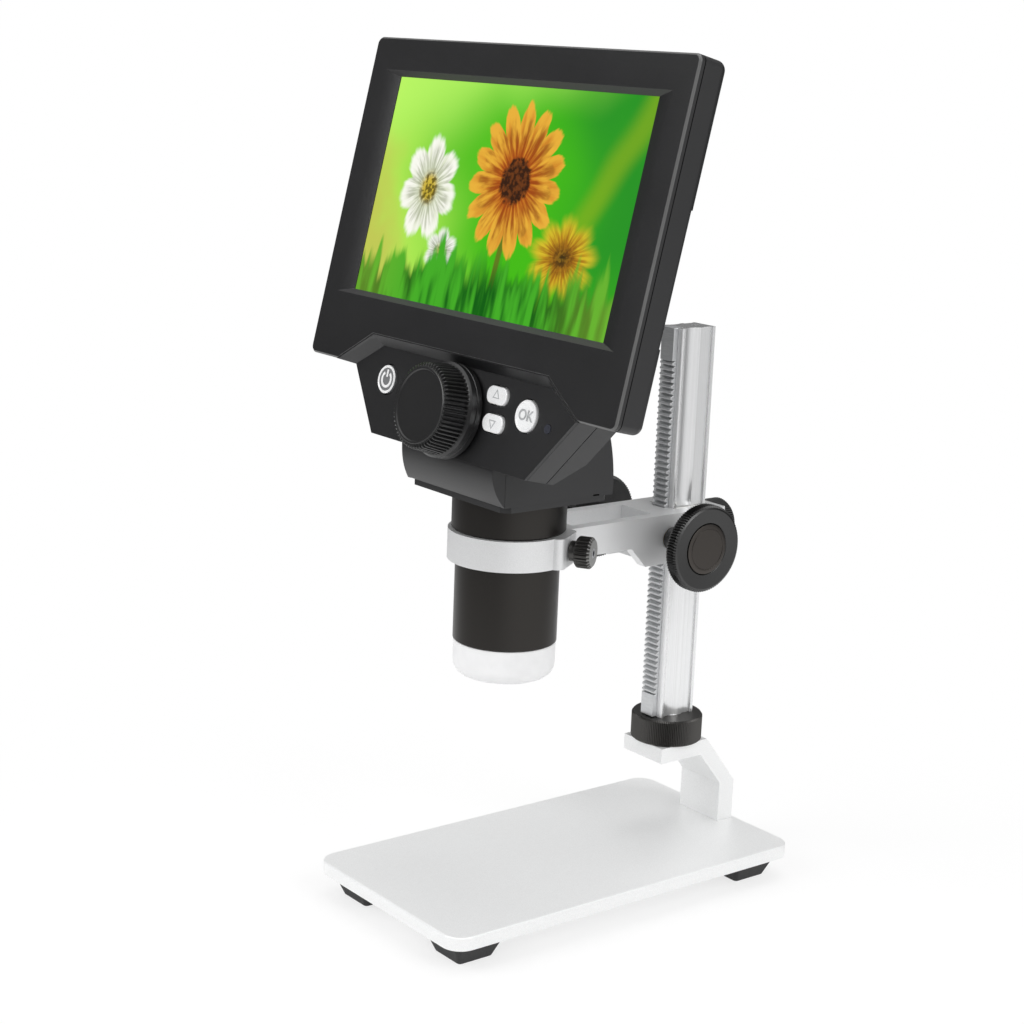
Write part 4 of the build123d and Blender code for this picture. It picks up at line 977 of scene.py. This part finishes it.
# %% Symbols
def symbol(piece, name, place, paint=symbol_grey):
    """Gives a flat sign its thickness and sets it on a button."""
    modify(piece, "SOLIDIFY", thickness=0.12 * mm, offset=0.0)
    settle(piece, place)
    fit(piece, body_of[name], "button_plastic", paint)


dish_middle = Matrix.Translation((0, 0, -4.3 * mm))
key_face = Matrix.Translation((0, 0, button_front * mm))
half_gap = math.radians(32.0)
bar_middle = (0, 2.4 * mm, 0)
bar_width, bar_length = 1.0, 2.9
ring = turned("power_sign", 64, [(2.35, 0.0), (3.4, 0.0)])
none_selected(ring, "FACE")
for face in ring.data.polygons:
    lean = math.atan2(face.center.x, face.center.y)
    face.select = len(face.vertices) > 4 or abs(lean) < half_gap
mode("EDIT")
bpy.ops.mesh.delete(type="FACE")
bpy.ops.mesh.primitive_plane_add(size=bar_width * mm, location=bar_middle)
bpy.ops.transform.resize(value=(1.0, bar_length / bar_width, 1.0), center_override=bar_middle)
mode("OBJECT")
symbol(ring, "power_button", on_panel("power_button") @ dish_middle, button_rim)

for name, turn in (("up_button", 0.0), ("down_button", math.pi)):
    triangle = added(
        name.replace("button", "sign"), bpy.ops.mesh.primitive_circle_add,
        vertices=3, radius=2.3 * mm, fill_type="NGON")
    in_edit(
        triangle,
        lambda: bpy.ops.mesh.inset(thickness=0.35 * mm),
        lambda: bpy.ops.mesh.delete(type="ONLY_FACE"))
    symbol(triangle, name, on_panel(name) @ key_face @ Matrix.Rotation(turn, 4, "Z"))

letters = added("ok_sign", bpy.ops.object.text_add)
letters.data.body = "OK"
letters.data.align_x = "CENTER"
letters.data.align_y = "CENTER"
letters.data.size = 5.6 * mm
letters.data.offset = 0.09 * mm
bpy.ops.object.convert(target="MESH")
symbol(letters, "ok_button", on_panel("ok_button") @ dish_middle)

# %% [markdown]
# The display module is a flat box. Its front face is inset twice, so that the glowing picture is
# a face of its own inside a dark border.

# %% Display module
module_size = Vector((164.9, 100.0, 4.5))
side_border = 5.4
picture_height = 86.0
inset_height = module_size.y - 2 * side_border
module_front = (0, 0, module_size.z / 2 * mm)
display = added("display_module", bpy.ops.mesh.primitive_cube_add, size=1.0)
display.scale = module_size * mm
bpy.ops.object.transform_apply(scale=True)
none_selected(display, "FACE")
for face in display.data.polygons:
    face.select = face.normal.z > 0.9
mode("EDIT")
bpy.ops.mesh.inset(thickness=side_border * mm)
bpy.ops.transform.resize(
    value=(1.0, picture_height / inset_height, 1.0), center_override=module_front)
bpy.ops.mesh.inset(thickness=0.02 * mm, depth=-0.02 * mm)
mode("OBJECT")
lit = max(display.data.polygons, key=lambda face: face.normal.z * 10.0 - face.center.length)
display.data.materials.append(screen_edge.material)
display.data.materials.append(picture.material)
lit.material_index = 1
settle(display, SCREEN @ Matrix.Translation(SCREEN.inverted() @ lcd_middle))
fit(display, "head", "screen_glass", None, "lcd_panel")

# %% [markdown]
# Everything that is left keeps its solid and only gets a finish: screws, boards, bearings and the
# drive shafts. A table keeps each finish next to the names it is for.

# %% Finishes for the other solids
finishes = {
    steel: ["foot_screws", "bracket_screws", "column_screw", "rack_screws", "pinion_shaft",
            "lock_stud", "clamp_stud", "focus_shaft", "neck_screws", "case_screws"],
    brass: ["pressure_pad", "shaft_bushes", "focus_bushes"],
    liner_plastic: ["guide_liners"],
    board_green: ["led_board", "sensor_board", "port_board", "main_board", "button_board"],
    black_aluminium: ["lens_guide", "lens_tube"],
    plate_aluminium: ["shaft_bracket"],
    led_white: ["leds"],
    lens_glass: ["objective_lens"],
    battery_foil: ["battery_pack"],
    indicator_plastic: ["indicator_lens"],
    ribbon_plastic: ["ribbon_cable"],
}
for paint, names in finishes.items():
    for name in names:
        dress(name, paint)
print("solids with a new finish:", sum(len(names) for names in finishes.values()))

# %% [markdown]
# The room is a white floor under a white sky, and the camera sees both as plain white. Near the
# object a part of the floor's light comes from the lamps, which keeps a soft shadow. Black plastic
# shows nothing but reflections, so these need some contrast: in a mirror the room is bright
# towards +x, overhead and on the floor close by, and dimmer on the other side.

# %% Floor and sky
just_below = -0.2 * mm
floor = added("floor", bpy.ops.mesh.primitive_plane_add, size=40.0, location=(0, 0, just_below))
floor_white = Paint("floor_white", Roughness=0.9, Specular_IOR_Level=0.1)
floor_tone = floor_white.blend(floor_white.noise(3.0), (0.95, 0.95, 0.95), (0.97, 0.97, 0.97))
floor_white.feed("Base Color", floor_tone)
camera_ray, mirror_ray, through_ray = floor_white.ray_kinds()
seen = camera_ray.larger(mirror_ray).larger(through_ray)
away = floor_white.node(
    "ShaderNodeVectorMath", {"operation": "LENGTH"}, {0: floor_white.place}, "Value")


def one_sided(paint, place, reach):
    """How bright a mirror shows the room in a direction: full towards +x, dim on the other side."""
    lit_side = (0.996, 0.087)
    dimmest, rise = 0.1, 0.65
    x = paint.part(place, "X")
    y = paint.part(place, "Y")
    towards_light = (x * lit_side[0] + y * lit_side[1]) / reach
    return towards_light.step(0.45, 0.95) * rise + dimmest


floor_side = one_sided(floor_white, floor_white.place, away)
floor_mirror = floor_side + (1.0 - floor_side) * (1.0 - away.step(0.35, 0.9))
white, black = (1.0, 1.0, 1.0, 1.0), (0.0, 0.0, 0.0, 1.0)
lit_floor = Number(floor_white, floor_white.shader.outputs[0])
glow, dark = [
    floor_white.node("ShaderNodeEmission", None, {"Color": colour, "Strength": strength})
    for colour, strength in ((white, 1.0), (black, 0.0))]
least_glow = 0.72
glow_share = away.step(0.1, 0.3) * (1 - least_glow) + least_glow
bright = floor_white.node("ShaderNodeMixShader", None, {0: seen * glow_share, 1: lit_floor, 2: glow})
both = floor_white.node("ShaderNodeMixShader", None, {
    0: mirror_ray * (1.0 - floor_mirror), 1: bright, 2: dark})
floor_end = [node for node in floor_white.tree.nodes if node.type == "OUTPUT_MATERIAL"][0]
floor_white.tree.links.new(both.socket, floor_end.inputs["Surface"])
finish(floor, floor_white)


class Sky(Paint):
    """The world, with the same helpers as a material."""

    def __init__(self):
        world = bpy.data.worlds.new("white_room")
        bpy.context.scene.world = world
        world.use_nodes = True
        self.tree = world.node_tree
        self.shader = self.tree.nodes["Background"]
        self.place = self.node("ShaderNodeTexCoord", output="Generated")


sky = Sky()
camera_ray, mirror_ray, through_ray = sky.ray_kinds()
clear_view = camera_ray.larger(through_ray)
sky_side = one_sided(sky, sky.place, 1.0)
sky_mirror = sky_side + (1.0 - sky_side) * sky.part(sky.place, "Z").step(0.45, 0.85)
sky_light = 0.66
lighting = (1.0 - mirror_ray) * sky_light
sky.feed("Strength", clear_view.larger(mirror_ray * sky_mirror + lighting * (1.0 - clear_view)))
sky.shader.inputs["Color"].default_value = white
print("sky nodes:", len(sky.tree.nodes))

# %% [markdown]
# A lamp's power says little until its distance is known. So each lamp is given as a level: how
# bright a white sheet facing it would look from there. Large lamps keep the shadows soft.

# %% Lamps
def soft_lamp(name, place, aim, size, level):
    """A square lamp that lights a facing white sheet at aim to the given level."""
    data = bpy.data.lights.new(name, "AREA")
    data.size = size
    distance = (Vector(place) - Vector(aim)).length
    data.energy = level * math.pi ** 2 * distance ** 2
    lamp = bpy.data.objects.new(name, data)
    bpy.context.scene.collection.objects.link(lamp)
    lamp.matrix_world = facing(Vector(place), Vector(place) - Vector(aim))
    print(name, "watts:", round(data.energy, 1))


heart_of_scene = (0.0, 0.0, 0.18)
soft_lamp("lamp_left", (-0.35, -1.6, 1.3), heart_of_scene, size=1.1, level=0.38)
soft_lamp("lamp_right", (1.5, 0.2, 1.2), heart_of_scene, size=0.9, level=0.28)
soft_lamp("lamp_top", (0.0, 0.3, 1.9), heart_of_scene, size=1.2, level=0.22)
